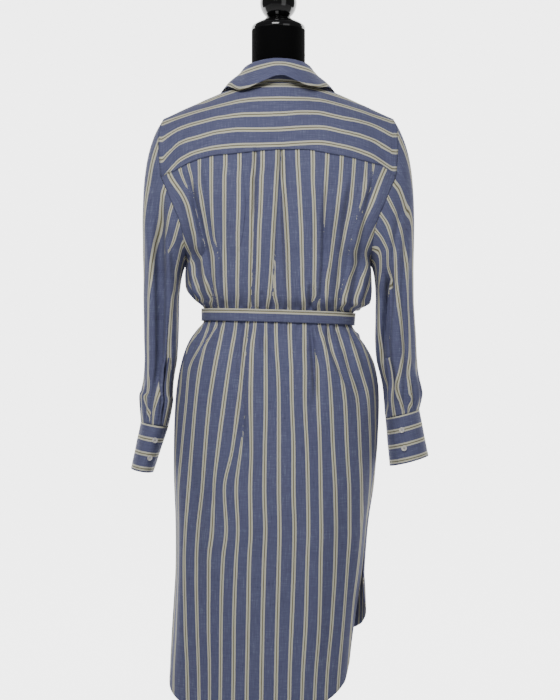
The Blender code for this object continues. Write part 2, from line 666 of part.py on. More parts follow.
def front_grid(side):
    edge = -UNDERLAP if side > 0 else BAND_EDGE
    shares = np.array(FRONT_SHARES)
    tops = np.array([front_top(share, edge) for share in shares])
    hem = np.interp(shares, *np.array(FRONT_HEM).T) - FRONT_HEM[0][1]
    rows = []
    edge_normals = {}
    for level in FRONT_ROWS:
        rise = (tops[:, 2] - V_POINT_Z) * float(smooth(level, 1.18, V_POINT_Z))
        drop = hem_share(level, FRONT_ROWS[-1])
        turn = at_height(level, BACK_CLOTH, CLOTH_COLUMNS, "turn")
        points = []
        for index, share in enumerate(shares):
            z = level + rise[index] + drop * hem[index]
            ring = section_ring(z, FRONT_COLUMNS)
            middle = side * run_at_angle(ring, 180.0 * side)
            seam = side * run_at_angle(ring, 90.0 * side) + side * turn + SEAM_GAP / 2.0
            seam += slit_gap(z)
            if level > ARMPIT_Z + 1e-6:
                goal = armhole_at(level + rise[-1], False)
                seam = run_where(ring, side, goal[1], 90.0, 180.0)
            place = (middle - edge) + (seam - (middle - edge)) * share
            cloth = np.array([middle - place])
            quiet = float(smooth(abs(cloth[0]), 0.022, 0.060))
            soft = fold_depth(FRONT_FOLDS, cloth, z)[0] + quiet * gather_depth(cloth, z, 0.50)[0]
            loose = 1.0 - float(smooth(share, CALM_SHARE, 1.0))
            x, y = ring_at(ring, side * place, soft * loose)
            points.append((x, y, z))
        edge_normals[(len(rows), len(shares) - 1)] = ring_normal(ring, side * place)
        rows.append(points)
    grid = np.array(rows)
    target = tops * np.array([side, 1.0, 1.0])
    target[:, 2] -= 1.5 * SEAM_GAP
    shift = target - grid[0]
    for row, level in enumerate(FRONT_ROWS):
        grid[row] += shift * float(smooth(level, 1.16, V_POINT_Z))
    for row, level in enumerate(FRONT_ROWS):
        if level < ARMPIT_Z - 1e-6:
            break
        goal = armhole_at(grid[row, -1, 2], False) if row else np.array(ARMHOLE[-1])
        goal = goal * np.array([side, 1.0, 1.0])
        if row == 0:
            goal[2] -= 1.5 * SEAM_GAP
            for col in range(FRONT_SHARES.index(0.386), len(shares) - 1):
                edge_normals[(0, col)] = front_seam_normal(side)
        if level < ARMPIT_Z + 1e-6:
            goal[1] -= SEAM_GAP / 2.0
        grid[row] += (shares ** 3)[:, None] * (goal - grid[row, -1])
        edge_normals[(row, len(shares) - 1)] = seam_normal(goal)
    return tilt(grid), edge_normals


def make_fronts(material, button_material):
    grids = {}
    for name, side in (("front_right", -1.0), ("front_left", 1.0)):
        grids[side], edges = front_grid(side)
        normals = outward(grids[side], edge_normals=edges)
        wall(name, grids[side], normals, material)
    make_button_band(grids[1.0], normals, material, button_material)
    return grids


def lay_on(line, normals, places, out):
    """Points at given runs along a row of a sheet's points, moved out along its normals."""
    run = np.concatenate(([0.0], np.cumsum(np.linalg.norm(np.diff(line, axis=0), axis=1))))
    start = line[0] - line[1]
    start /= np.linalg.norm(start)
    laid = []
    for place in places:
        point = np.array([np.interp(place, run, line[:, axis]) for axis in range(3)])
        normal = np.array([np.interp(place, run, normals[:, axis]) for axis in range(3)])
        if place < 0.0:
            point = point - start * place
        laid.append(point + normal / np.linalg.norm(normal) * out)
    return laid


def make_button_band(front, front_normals, material, button_material):
    """The band lies on the left front and meets the right one edge to edge."""
    places = (-0.0018, 0.0, 0.0085, 0.0205, BAND_WIDTH - 0.0018)
    grid = np.array([lay_on(line, normals, places, LAYER + 0.0002)
                     for line, normals in zip(front, front_normals)])
    normals = outward(grid)
    wall("button_band", grid, normals, material)
    middle = grid[:, 2]
    run = np.concatenate(([0.0], np.cumsum(np.linalg.norm(np.diff(middle, axis=0), axis=1))))
    for number in range(1, FRONT_BUTTONS + 1):
        place = FIRST_BUTTON + (number - 1) * BUTTON_STEP
        seat = np.array([np.interp(place, run, middle[:, axis]) for axis in range(3)])
        normal = np.array([np.interp(place, run, normals[:, 2, axis]) for axis in range(3)])
        normal /= np.linalg.norm(normal)
        near = grid[np.linalg.norm(grid - seat, axis=2) < 2.5 * BUTTON_R]
        swell = max(0.0, float(np.max(np.append((near - seat) @ normal, 0.0))))
        make_button(f"front_button_{number}", seat + normal * (CLOTH / 2.0 + SEAM_GAP + swell),
                    normal, button_material)


# ---------------------------------------------------------------- the yoke
def hermite(start, end, start_pull, end_pull, t):
    start, end, start_pull, end_pull = (np.asarray(v, float) for v in
                                        (start, end, start_pull, end_pull))
    return ((1 + 2 * t) * (1 - t) ** 2 * start + t * (1 - t) ** 2 * start_pull
            + t * t * (3 - 2 * t) * end + t * t * (t - 1) * end_pull)


def ridge_point(x):
    neck_x, neck_z = YOKE_RIDGE["neck_x"], YOKE_RIDGE["neck_z"]
    tip_x, tip_z = YOKE_RIDGE["tip_x"], YOKE_RIDGE["tip_z"]
    slope = (neck_z - tip_z) / (tip_x - neck_x)
    inner = max(0.0, 1.0 - (x / neck_x) ** 2) ** 1.5
    z = neck_z - slope * (max(abs(x), neck_x) - neck_x) + NECK_RISE * inner
    return np.array([x, NECK_BACK * inner, z])


def front_seam_point(x):
    neck_y, neck_z = YOKE_FRONT["neck"]
    end_y, end_z = YOKE_FRONT["end"]
    share = (max(abs(x), 0.078) - 0.078) / (ARMHOLE[-1][0] - 0.078)
    return np.array([x, neck_y + (end_y - neck_y) * share, neck_z + (end_z - neck_z) * share])


def yoke_point(x, share):
    """A point on the yoke: across it by x, and over the shoulder by share of its depth."""
    low, ridge, front = back_seam_point(x), ridge_point(x), front_seam_point(x)
    if share <= RIDGE_SHARE:
        reach = np.linalg.norm(ridge - low)
        t = share / RIDGE_SHARE
        return hermite(low, ridge, (0.0, 0.02 * reach, reach), (0.0, -1.05 * reach, 0.12 * reach), t)
    reach = np.linalg.norm(front - ridge)
    t = (share - RIDGE_SHARE) / (1.0 - RIDGE_SHARE)
    return hermite(ridge, front, (0.0, -1.05 * reach, -0.12 * reach),
                   (0.0, -YOKE_FRONT_LEAN * reach, -reach), t)


def yoke_edge_x(share):
    return float(pchip((0.0, 0.30, RIDGE_SHARE, 0.80, 1.0),
                       (ARMHOLE[0][0], YOKE_TIP_X, YOKE_RIDGE["tip_x"], 0.2045, ARMHOLE[-1][0]),
                       np.array([share]))[0])


def yoke_neck(turn):
    """The neckline on the yoke's pattern, from the spine (0) to the front seam (1)."""
    stops, x, share = np.array(YOKE_NECK).T
    wide = pchip(stops, x, np.array([abs(turn)]))[0]
    return math.copysign(wide, turn), pchip(stops, share, np.array([abs(turn)]))[0]


YOKE_ARM_STEPS = 8
YOKE_ROWS = 6


def yoke_seam_places(back_top):
    """Where the yoke's columns meet its back seam: at the back panel's own flat columns."""
    side = BACK_SIDE_COLUMNS
    x = list(back_top[::-1, 0])
    x[0] = ARMHOLE[0][0]
    x[-1] = -ARMHOLE[0][0]
    inner_left, inner_right = x[side], x[-side - 1]
    middle = [inner_left + (inner_right - inner_left) * step / 5 for step in range(1, 5)]
    return x[:side + 1] + middle + x[-side - 1:]


def yoke_grid(back_top):
    outer = []
    for step in range(YOKE_ARM_STEPS):
        share = 1.0 - step / YOKE_ARM_STEPS
        outer.append((yoke_edge_x(share), share))
    outer += [(x, 0.0) for x in yoke_seam_places(back_top)]
    for step in range(1, YOKE_ARM_STEPS + 1):
        share = step / YOKE_ARM_STEPS
        outer.append((-yoke_edge_x(share), share))
    count = len(outer)
    lengths = [abs(a[0] - b[0]) + 0.14 * abs(a[1] - b[1]) for a, b in zip(outer, outer[1:])]
    along = np.concatenate(([0.0], np.cumsum(lengths))) / sum(lengths)
    grid = np.zeros((YOKE_ROWS, count, 3))
    edge_normals = {}
    for col, (x_out, share_out) in enumerate(outer):
        x_in, share_in = yoke_neck(1.0 - 2.0 * along[col])
        for row in range(YOKE_ROWS):
            t = row / (YOKE_ROWS - 1)
            grid[row, col] = yoke_point(x_in + (x_out - x_in) * t,
                                        share_in + (share_out - share_in) * t)
        corner = col in (YOKE_ARM_STEPS, count - 1 - YOKE_ARM_STEPS)
        if share_out > 0.0 or corner:
            edge_normals[(YOKE_ROWS - 1, col)] = seam_normal(grid[-1, col])
        else:
            edge_normals[(YOKE_ROWS - 1, col)] = back_seam_normal(x_out)
    for row in range(YOKE_ROWS - 1):
        edge_normals[(row, 0)] = front_seam_normal(1.0)
        edge_normals[(row, count - 1)] = front_seam_normal(-1.0)
    return grid, edge_normals


def make_yoke(back_top, material):
    grid, edges = yoke_grid(back_top)
    wall("yoke", grid, outward(grid, edge_normals=edges), material)
    return grid


# ---------------------------------------------------------------- sleeves
CAP_ROWS = 7
SLEEVE_ROWS = (1.0500, 1.0150, 0.9800, 0.9450, 0.9180, 0.8980, 0.8800, 0.8660)
SLEEVE_TROUGHS = (
    # side, place round the sleeve (0 shoulder, 0.25 back), top z, lower z, width, depth
    (1.0, 0.235, 1.270, 0.835, 0.040, 0.0110),
    (1.0, 0.135, 1.200, 0.860, 0.034, 0.0040),
    (1.0, 0.360, 1.050, 0.845, 0.034, 0.0050),
    (1.0, 0.740, 1.230, 0.850, 0.040, 0.0080),
    (-1.0, 0.345, 1.130, 0.860, 0.038, 0.0110),
    (-1.0, 0.200, 1.260, 0.850, 0.034, 0.0050),
    (-1.0, 0.110, 1.180, 0.900, 0.034, 0.0040),
    (-1.0, 0.760, 1.230, 0.850, 0.040, 0.0080),
)


def armhole_loop(side, yoke, back, front):
    """The whole armhole seam through the body's own edge points, and each one's turn round it.

    It starts at the front of the yoke, goes over the shoulder and down the back to the armpit.
    The turn is 0 at the shoulder's ridge, 0.5 at the armpit and back to 1 over the front.
    """
    over = yoke[-1, :YOKE_ARM_STEPS + 1] if side > 0 else yoke[-1, ::-1][:YOKE_ARM_STEPS + 1]
    edge = -1 if side > 0 else 0
    behind = back[1:BACK_ROWS.index(ARMPIT_Z), edge]
    armpit = np.array([[side * ARMHOLE[ARMPIT_ROW][0], 0.0, ARMHOLE[ARMPIT_ROW][2]]])
    before = front[1:FRONT_ROWS.index(ARMPIT_Z), -1][::-1]
    loop = np.concatenate([over, behind, armpit, before])
    closed = np.concatenate([loop, loop[:1]])
    run = np.concatenate(([0.0], np.cumsum(np.linalg.norm(np.diff(closed, axis=0), axis=1))))
    pit = len(over) + len(behind)
    shares = np.array([1.0 - step / YOKE_ARM_STEPS for step in range(YOKE_ARM_STEPS + 1)])
    ridge = np.interp(-RIDGE_SHARE, -shares, run[:len(shares)])
    whole = run[-1]
    stops = (ridge - 1e-9, run[pit], ridge + whole)
    turns = np.interp(np.where(run[:-1] < ridge, run[:-1] + whole, run[:-1]), stops, (0.0, 0.5, 1.0))
    return loop, turns


def sleeve_tables(side):
    return (SLEEVE_LEFT, CUFF_LEFT) if side > 0 else (SLEEVE_RIGHT, CUFF_RIGHT)


def cuff_value(cuff, name):
    return cuff[CUFF_COLUMNS.index(name)]


def sleeve_oval(side, z, turns):
    """One level ring of a sleeve below the armpit."""
    table, cuff = sleeve_tables(side)
    middle_x, half_x, middle_y, half_y = (at_height(z, table, SLEEVE_COLUMNS, name)
                                          for name in SLEEVE_COLUMNS[1:])
    across = np.cos(2.0 * math.pi * turns)
    deep = np.sin(2.0 * math.pi * turns)
    slant = cuff_value(cuff, "tilt") * float(1.0 - smooth(z, 0.84, 1.0))
    x = middle_x + half_x * np.sign(across) * np.abs(across) ** 0.90
    y = middle_y + half_y * np.sign(deep) * np.abs(deep) ** 0.90
    height = z + slant * half_x * across
    return np.stack([side * x, y, height], axis=1)


def sleeve_grid(side, loop, turns):
    top_oval = sleeve_oval(side, SLEEVE_ROWS[0], turns)
    away = 1.0 - np.abs(2.0 * turns - 1.0)          # 0 at the shoulder, 1 at the armpit
    along = np.roll(loop, -1, axis=0) - np.roll(loop, 1, axis=0)
    seam = np.array([seam_normal(point) for point in loop])
    leave = np.cross(along, seam)
    leave *= np.sign(leave[:, :1]) * side
    leave /= np.linalg.norm(leave, axis=1, keepdims=True)
    start_pull = leave * (0.60 - 0.15 * away)[:, None] + np.array([0.0, 0.0, -0.50])
    grid = [loop + np.array([side * 2.2 * SEAM_GAP, 0.0, 0.0])]
    reach = np.linalg.norm(top_oval - loop, axis=1)[:, None]
    for row in range(1, CAP_ROWS + 1):
        t = (row / CAP_ROWS) ** 1.15
        grid.append(hermite(grid[0], top_oval, start_pull * reach * 0.9,
                            np.array([side * 0.02, 0.0, -1.0]) * reach * 0.9, t))
    for z in SLEEVE_ROWS[1:]:
        grid.append(sleeve_oval(side, z, turns))
    cuff = sleeve_tables(side)[1]
    last = cuff_ring(side, 0.0, turns)
    last[:, 2] += SEAM_GAP
    grid.append(last)
    grid = np.array(grid)
    middle = grid.mean(axis=1, keepdims=True)
    normals = sleeve_normals(grid, middle)
    end_z = cuff_value(cuff, "top_z")
    out = np.zeros(grid.shape[:2])
    for trough_side, place, top_z, low_z, width, depth in SLEEVE_TROUGHS:
        if trough_side != side:
            continue
        share = (top_z - grid[..., 2]) / (top_z - low_z)
        along = smooth(share, 0.0, 0.3) * (1.0 - smooth(share, 0.8, 1.0))
        gap = (turns[None, :] - place + 0.5) % 1.0 - 0.5
        out -= depth * along * np.exp(-(gap / width) ** 2)
    near_cuff = np.clip((grid[..., 2] - end_z) / 0.090, 0.0, 1.0)
    gathered = np.sin(math.pi * near_cuff) * (near_cuff < 1.0)
    out += SLEEVE_GATHER_DEPTH * gathered * np.sin(2.0 * math.pi * SLEEVE_GATHERS * turns)[None, :]
    outer_side = 0.5 + 0.5 * np.cos(2.0 * math.pi * turns)[None, :]
    out += CUFF_BLOUSE * outer_side * np.sin(math.pi * np.clip(near_cuff * 1.3, 0.0, 1.0))
    out[0] = 0.0
    out[-1] = 0.0
    return grid + normals * out[..., None]


def sleeve_normals(grid, middle):
    normals = grid_normals(grid, True)
    if np.sum((grid - middle) * normals) < 0.0:
        normals = -normals
    return normals


def make_sleeve(side, material, yoke, back, front):
    name = "sleeve_left" if side > 0 else "sleeve_right"
    loop, turns = armhole_loop(side, yoke, back, front)
    grid = sleeve_grid(side, loop, turns)
    normals = sleeve_normals(grid, grid.mean(axis=1, keepdims=True))
    for col in range(len(turns)):
        normals[0, col] = seam_normal(loop[col])
    wall(name, grid, normals, material, closed=True)
    return grid, normals, turns


# ---------------------------------------------------------------- cuffs, plackets, buttons
CUFF_SIDES = 28
CUFF_ROWS = 3
CUFF_LAP = {1.0: 0.375, -1.0: 0.345}      # where round the wrist the outer end of the cuff lies


def cuff_ring(side, share, turns):
    """A ring of the cuff, from its top (0) to its open end (1)."""
    cuff = sleeve_tables(side)[1]
    top = [cuff_value(cuff, name) for name in ("top_z", "top_x", "top_hx", "top_hy")]
    end = [cuff_value(cuff, name) for name in ("end_z", "end_x", "end_hx", "end_hy")]
    z, middle_x, half_x, half_y = (a + (b - a) * share for a, b in zip(top, end))
    angle = 2.0 * math.pi * turns
    x = middle_x + half_x * np.cos(angle)
    y = CUFF_MIDDLE_Y + half_y * np.sin(angle)
    height = z + cuff_value(cuff, "tilt") * half_x * np.cos(angle)
    return np.stack([side * x, y, height], axis=1)


def cuff_grid(side):
    """The cuff is a strip that goes once round and laps over its own start."""
    lap = CUFF_LAP[side]
    turns = lap - 0.040 + np.linspace(0.0, 1.062, CUFF_SIDES)
    rows = np.array([cuff_ring(side, share, turns) for share in np.linspace(0.0, 1.0, CUFF_ROWS)])
    step_out = smooth(np.linspace(0.0, 1.062, CUFF_SIDES), 0.90, 0.985)
    middle = rows.mean(axis=1, keepdims=True)
    away = rows - middle
    away[..., 2] = 0.0
    away /= np.linalg.norm(away, axis=2, keepdims=True)
    rows += away * (step_out * (LAYER + 0.0003))[None, :, None]
    return rows


def make_cuff(side, material, button_material):
    name = "cuff_left" if side > 0 else "cuff_right"
    grid = cuff_grid(side)
    middle = grid.mean(axis=(0, 1))
    normals = outward(grid, inside=middle[:2])
    wall(name, grid, normals, material)
    place = CUFF_SIDES - 3
    for number, share in enumerate((0.30, 0.68), start=1):
        row = share * (CUFF_ROWS - 1)
        low = int(row)
        point = grid[low, place] + (grid[low + 1, place] - grid[low, place]) * (row - low)
        normal = normals[low, place]
        make_button(f"{name}_button_{number}", point + normal * (CLOTH / 2.0 + SEAM_GAP),
                    normal, button_material)


def make_button(name, seat, normal, material):
    """A shirt button with a raised rim, lying on its seat."""
    normal = normal / np.linalg.norm(normal)
    across = np.cross(normal, (0.0, 0.0, 1.0))
    across /= np.linalg.norm(across)
    up = np.cross(across, normal)
    profile = ((BUTTON_R * 0.86, 0.0), (BUTTON_R, BUTTON_THICK * 0.55),
               (BUTTON_R * 0.86, BUTTON_THICK), (BUTTON_R * 0.60, BUTTON_THICK * 0.66))
    sides = 12
    points = []
    for radius, height in profile:
        for step in range(sides):
            angle = 2.0 * math.pi * step / sides
            points.append(seat + normal * height
                          + (across * math.cos(angle) + up * math.sin(angle)) * radius)
    faces = []
    for ring in range(len(profile) - 1):
        for step in range(sides):
            after = (step + 1) % sides
            faces.append([ring * sides + step, ring * sides + after,
                          (ring + 1) * sides + after, (ring + 1) * sides + step])
    faces.append(list(range(sides))[::-1])
    faces.append([(len(profile) - 1) * sides + step for step in range(sides)])
    return add_solid(name, points, faces, material)


PLACKET_LIFT = 0.0007      # how far the strip's middle clears the sleeve under its folds


def make_sleeve_placket(side, grid, normals, turns, material):
    """The strip over the sleeve's slit, laid on the sleeve and running down to the cuff."""
    name = "sleeve_placket_left" if side > 0 else "sleeve_placket_right"
    centre = int(np.argmin(np.abs(turns - CUFF_LAP[side])))
    columns = [centre - 1, centre, centre + 1]
    strip = []
    for row in range(len(grid) - 6, len(grid)):
        line = grid[row, columns]
        first = np.linalg.norm(line[1] - line[0])
        places = [max(0.0, first - 0.010), first, first + 0.010]
        strip.append(lay_on(line, normals[row, columns], places, LAYER + PLACKET_LIFT))
    strip = np.array(strip)
    strip[-1, :, 2] += 0.0012
    inside = grid[-3].mean(axis=0)[:2]
    wall(name, strip, outward(strip, inside=inside), material)


# ---------------------------------------------------------------- the collar
NECK_STEPS = 10
STAND_LIFT = 0.0014       # the stand's lower edge clears the yoke's wall by this much


def neckline(steps):
    """The neck seam on the left half: round the yoke, then down the front to the collar's end."""
    points = [yoke_point(*yoke_neck(turn)) for turn in np.linspace(0.0, 1.0, 25)]
    points.append(np.array(NECK_SEAM_END))
    points = np.array(points)
    run = np.concatenate(([0.0], np.cumsum(np.linalg.norm(np.diff(points, axis=0), axis=1))))
    wanted = np.linspace(0.0, run[-1], steps + 1)
    return np.stack([np.interp(wanted, run, points[:, axis]) for axis in range(3)], axis=1)


def both_sides(half):
    """A line from the spine to the front on the left, mirrored into one from right to left."""
    return np.concatenate([half[:0:-1] * np.array([-1.0, 1.0, 1.0]), half])


def make_collar(material):
    low = neckline(NECK_STEPS)
    low[:, 2] += STAND_LIFT
    low[:, 0] -= STAND_LIFT * smooth(np.linspace(0.0, 1.0, NECK_STEPS + 1), 0.40, 0.60)
    low = both_sides(low)
    shares = np.linspace(0.0, 1.0, 2 * NECK_STEPS + 1)
    top, roll, edge = (through(both_sides(np.array(line)), shares)
                       for line in (STAND_TOP, LEAF_ROLL, LEAF_EDGE))
    stand = np.array([low + (top - low) * t for t in (1.0, 0.5, 0.0)])
    wall("collar_stand", stand, outward(stand), material)
    start = top.copy()
    start[:, 2] += 0.0009
    rows = [start, start + (roll - start) * 0.55 - (edge - start) * 0.02, roll]
    for t in (0.15, 0.45, 0.75, 1.0):
        bulge = 0.0035 * math.sin(math.pi * t)
        row = roll + (edge - roll) * t
        flat = row[:, :2] / np.linalg.norm(row[:, :2], axis=1, keepdims=True)
        row[:, :2] += flat * bulge
        rows.append(row)
    leaf = np.array(rows)
    wall("collar", leaf, grid_normals(leaf, False), material)


# ---------------------------------------------------------------- the belt
BELT_OUT = 0.0036         # from the dress's middle surface to the belt's
BELT_OUT_FRONT = 0.0050   # where it crosses the button band
BELT_STEPS = 50
KNOT_WIDE = 0.0135        # half the knot's width, depth and height
KNOT_DEEP = 0.0052
KNOT_HIGH = 0.0125


def belt_point(ring, degrees, z):
    run = run_at_angle(ring, degrees)
    at_front = 1.0 - float(smooth(abs(abs(degrees) - 180.0), 8.0, 24.0))
    x, y = ring_at(ring, run, BELT_OUT + (BELT_OUT_FRONT - BELT_OUT) * at_front)
    return np.array([x, y, z + WAIST_TILT * x])


def make_belt(material):
    start, end = -173.5, 183.0
    rows = []
    for share in (0.5, -0.5):
        z = WAIST_Z + share * BELT_WIDTH
        ring = section_ring(z)
        rows.append([belt_point(ring, degrees, z)
                     for degrees in np.linspace(start, end, BELT_STEPS + 1)])
    grid = np.array(rows)
    wall("belt", grid, outward(grid), material, thick=BELT_THICK)
    knot = (grid[:, 0].mean(axis=0) + grid[:, -1].mean(axis=0)) / 2.0
    knot[1] -= BELT_THICK / 2.0 + KNOT_DEEP + SEAM_GAP
    make_knot(knot, material)
    make_tails(knot, material)


def make_knot(middle, material):
    """A flat tied knot: a soft rounded block wider than it is deep."""
    rings = []
    sides = 16
    for share in np.linspace(-1.0, 1.0, 7):
        size = (1.0 - abs(share) ** 2.6) ** 0.5 if abs(share) < 1.0 else 0.0
        size = max(size, 0.22)
        ring = []
        for step in range(sides):
            angle = 2.0 * math.pi * step / sides
            ring.append(middle + np.array([KNOT_WIDE * share,
                                           -KNOT_DEEP * size * math.cos(angle),
                                           KNOT_HIGH * size * math.sin(angle)]))
        rings.append(ring)
    points = [point for ring in rings for point in ring]
    faces = []
    for ring in range(len(rings) - 1):
        for step in range(sides):
            after = (step + 1) % sides
            faces.append([ring * sides + step, ring * sides + after,
                          (ring + 1) * sides + after, (ring + 1) * sides + step])
    faces.append(list(range(sides))[::-1])
    faces.append([(len(rings) - 1) * sides + step for step in range(sides)])
    add_solid("belt_knot", points, faces, material)


# each tail from the knot down: x and z from the knot, how far out it hangs, its turn in degrees
BELT_TAILS = {
    "belt_tail_left": ((0.0065, 0.003, -0.0128, 4.0), (0.017, 0.013, -0.060, 10.0),
                       (0.028, 0.018, -0.130, 16.0), (0.033, 0.020, -0.200, 10.0),
                       (0.036, 0.021, -0.262, 6.0)),
    "belt_tail_right": ((-0.0065, 0.0, -0.0132, -4.0), (-0.017, 0.004, -0.060, -12.0),
                        (-0.024, 0.007, -0.130, -8.0), (-0.027, 0.009, -0.190, -14.0),
                        (-0.031, 0.010, -0.236, -10.0)),
}


def make_tails(knot, material):
    for name, stops in BELT_TAILS.items():
        route = through([stop[:3] for stop in stops], np.linspace(0.0, 1.0, 10))
        turns = np.interp(np.linspace(0.0, 1.0, 10), np.linspace(0.0, 1.0, len(stops)),
                          [stop[3] for stop in stops])
        rows = []
        for (x, out, drop), degrees in zip(route, turns):
            z = knot[2] + drop
            front_y = -at_height(z, SECTIONS, SECTION_COLUMNS, "front")
            y = min(knot[1] - 0.0005, front_y - 0.0085) - out * 0.4
            half = BELT_WIDTH / 2.0
            lean = math.radians(degrees)
            across = np.array([math.cos(lean), -math.sin(lean) * math.copysign(1.0, x), 0.0])
            middle = np.array([knot[0] + x, y, z])
            width = half * float(0.46 + 0.54 * smooth(-drop, 0.013, 0.060))
            rows.append([middle + across * width * place for place in (1.0, 0.0, -1.0)])
        grid = np.array(rows)
        wall(name, grid, outward(grid), material, thick=BELT_THICK)


# ---------------------------------------------------------------- the dress form
TORSO_SIDES = 22


def torso_rows():
    rows = list(TORSO)
    last = TORSO[-1]
    tip_x, tip_z = YOKE_RIDGE["tip_x"], YOKE_RIDGE["tip_z"]
    slope = (YOKE_RIDGE["neck_z"] - tip_z) / (tip_x - YOKE_RIDGE["neck_x"])
    for z in SHOULDER_STEPS:
        half_x = tip_x - (z + SHOULDER_SEAT * math.hypot(1.0, slope) - tip_z) / slope
        share = (z - last[0]) / (NECK_BASE_Z - last[0])
        rows.append((z, half_x, last[2] + (SHOULDER_DEPTH - last[2]) * share,
                     last[3] + (SHOULDER_DEPTH - last[3]) * share))
    for z, half_x in NECK_BASE_ROWS:
        rows.append((z, half_x, NECK_RADIUS, NECK_RADIUS))
    return rows


def make_torso(material):
    points = []
    rows = torso_rows()
    for z, half_x, back, front in rows:
        for step in range(TORSO_SIDES):
            angle = 2.0 * math.pi * step / TORSO_SIDES
            deep = back if math.sin(angle) > 0 else front
            points.append((half_x * math.cos(angle), deep * math.sin(angle), z))
    faces = []
    for ring in range(len(rows) - 1):
        for step in range(TORSO_SIDES):
            after = (step + 1) % TORSO_SIDES
            faces.append([ring * TORSO_SIDES + step, ring * TORSO_SIDES + after,
                          (ring + 1) * TORSO_SIDES + after, (ring + 1) * TORSO_SIDES + step])
    faces.append(list(range(TORSO_SIDES))[::-1])
    faces.append([(len(rows) - 1) * TORSO_SIDES + step for step in range(TORSO_SIDES)])
    add_solid("form_torso", points, faces, material)


def make_form(cover, gloss, metal):
    make_torso(cover)
    neck_low = NECK_BASE_Z + SEAM_GAP
    turned("form_neck", ((NECK_RADIUS - 0.0010, neck_low), (NECK_RADIUS, neck_low + 0.002),
                         (NECK_RADIUS, NECK_TOP_Z)), cover)
    turned("form_cap", CAP_PROFILE, gloss)
    ball_low = CAP_PROFILE[-1][1] + SEAM_GAP
    seat_sine = (BALL_MIDDLE_Z - ball_low) / BALL_RADIUS
    ball = []
    for angle in np.linspace(-math.asin(seat_sine), math.radians(86.0), 9):
        ball.append((BALL_RADIUS * math.cos(angle), BALL_MIDDLE_Z + BALL_RADIUS * math.sin(angle)))
    turned("form_finial", ball, gloss, sides=22)
    pole_low = BASE_THICK + SEAM_GAP
    turned("form_pole", ((0.030, pole_low), (0.030, pole_low + 0.012), (0.022, pole_low + 0.026),
                         (POLE_RADIUS, pole_low + 0.032), (POLE_RADIUS, TORSO[0][0] - SEAM_GAP)),
           metal, sides=16)
    turned("form_base", ((BASE_RADIUS - 0.002, 0.0), (BASE_RADIUS, 0.002),
                         (BASE_RADIUS, BASE_THICK - 0.004), (BASE_RADIUS - 0.004, BASE_THICK)),
           metal, sides=40)


def main():
    remove_everything()
    fabric = make_material("striped_chambray", (0.117, 0.139, 0.262), 0.85)
    pearl = make_material("pearl_buttons", (0.80, 0.77, 0.68), 0.30)
    cover = make_material("black_form_cover", (0.006, 0.006, 0.007), 0.80)
    gloss = make_material("black_gloss", (0.004, 0.004, 0.005), 0.08)
    metal = make_material("black_metal", (0.010, 0.010, 0.011), 0.35)
    back = make_back(fabric)
    fronts = make_fronts(fabric, pearl)
    yoke = make_yoke(back[0], fabric)
    for side in (1.0, -1.0):
        grid, normals, turns = make_sleeve(side, fabric, yoke, back, fronts[side])
        make_sleeve_placket(side, grid, normals, turns, fabric)
        make_cuff(side, fabric, pearl)
    make_collar(fabric)
    make_belt(fabric)
    make_form(cover, gloss, metal)


main()
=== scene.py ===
"""A striped shirt dress on a dress form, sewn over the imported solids.

Metres, +Z up, the front of the dress towards -Y, the wearer's left towards +X.
"""
import math

import bpy
import numpy as np
from bpy.props import FloatProperty, FloatVectorProperty, PointerProperty
from bpy.types import Operator, Panel, PropertyGroup
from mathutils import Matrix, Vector


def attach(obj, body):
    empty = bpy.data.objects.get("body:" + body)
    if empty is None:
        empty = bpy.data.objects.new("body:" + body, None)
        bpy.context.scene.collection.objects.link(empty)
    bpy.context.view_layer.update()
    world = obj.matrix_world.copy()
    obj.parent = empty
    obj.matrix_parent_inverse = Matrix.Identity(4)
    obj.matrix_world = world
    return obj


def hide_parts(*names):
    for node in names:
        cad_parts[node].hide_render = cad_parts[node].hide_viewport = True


bl_info = {
    "name": "Striped shirt dress",
    "version": (1, 0, 0),
    "blender": (4, 5, 0),
    "location": "View3D > Sidebar > Dress",
    "description": "Sews a striped shirt dress over a dress form, lights it and sets the camera",
    "category": "Object",
}

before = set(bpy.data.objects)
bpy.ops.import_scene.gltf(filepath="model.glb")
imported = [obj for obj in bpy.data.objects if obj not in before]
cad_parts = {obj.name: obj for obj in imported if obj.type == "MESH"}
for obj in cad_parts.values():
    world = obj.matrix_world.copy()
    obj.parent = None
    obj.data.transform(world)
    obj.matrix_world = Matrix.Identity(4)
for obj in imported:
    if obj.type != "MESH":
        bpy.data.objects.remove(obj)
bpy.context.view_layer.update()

CLOTH = 0.0012            # thickness of the cloth
BELT_CLOTH = 0.0022       # thickness of the belt, folded double
PITCH = 0.0275            # from one double stripe to the next
MM = 1000.0               # the tables below are in millimetres
WAIST_Z = 1.0195          # middle of the belt at the spine
BELT_SLOPE = 0.030        # how the belt climbs towards the wearer's left
VIEW_DISTANCE = 2.8       # the camera's distance and height
VIEW_HEIGHT = 0.9586
VIEW_ACROSS = -0.003
SENSOR, LENS = 24.0, 51.89     # in millimetres
PAPER = (14.0, 15.0, 6.5, 2.4, 1.6)     # width, length, near end, flat floor and bend's radius
FACING = 0.38             # cloth turned further aside is laid by length, not by the tables


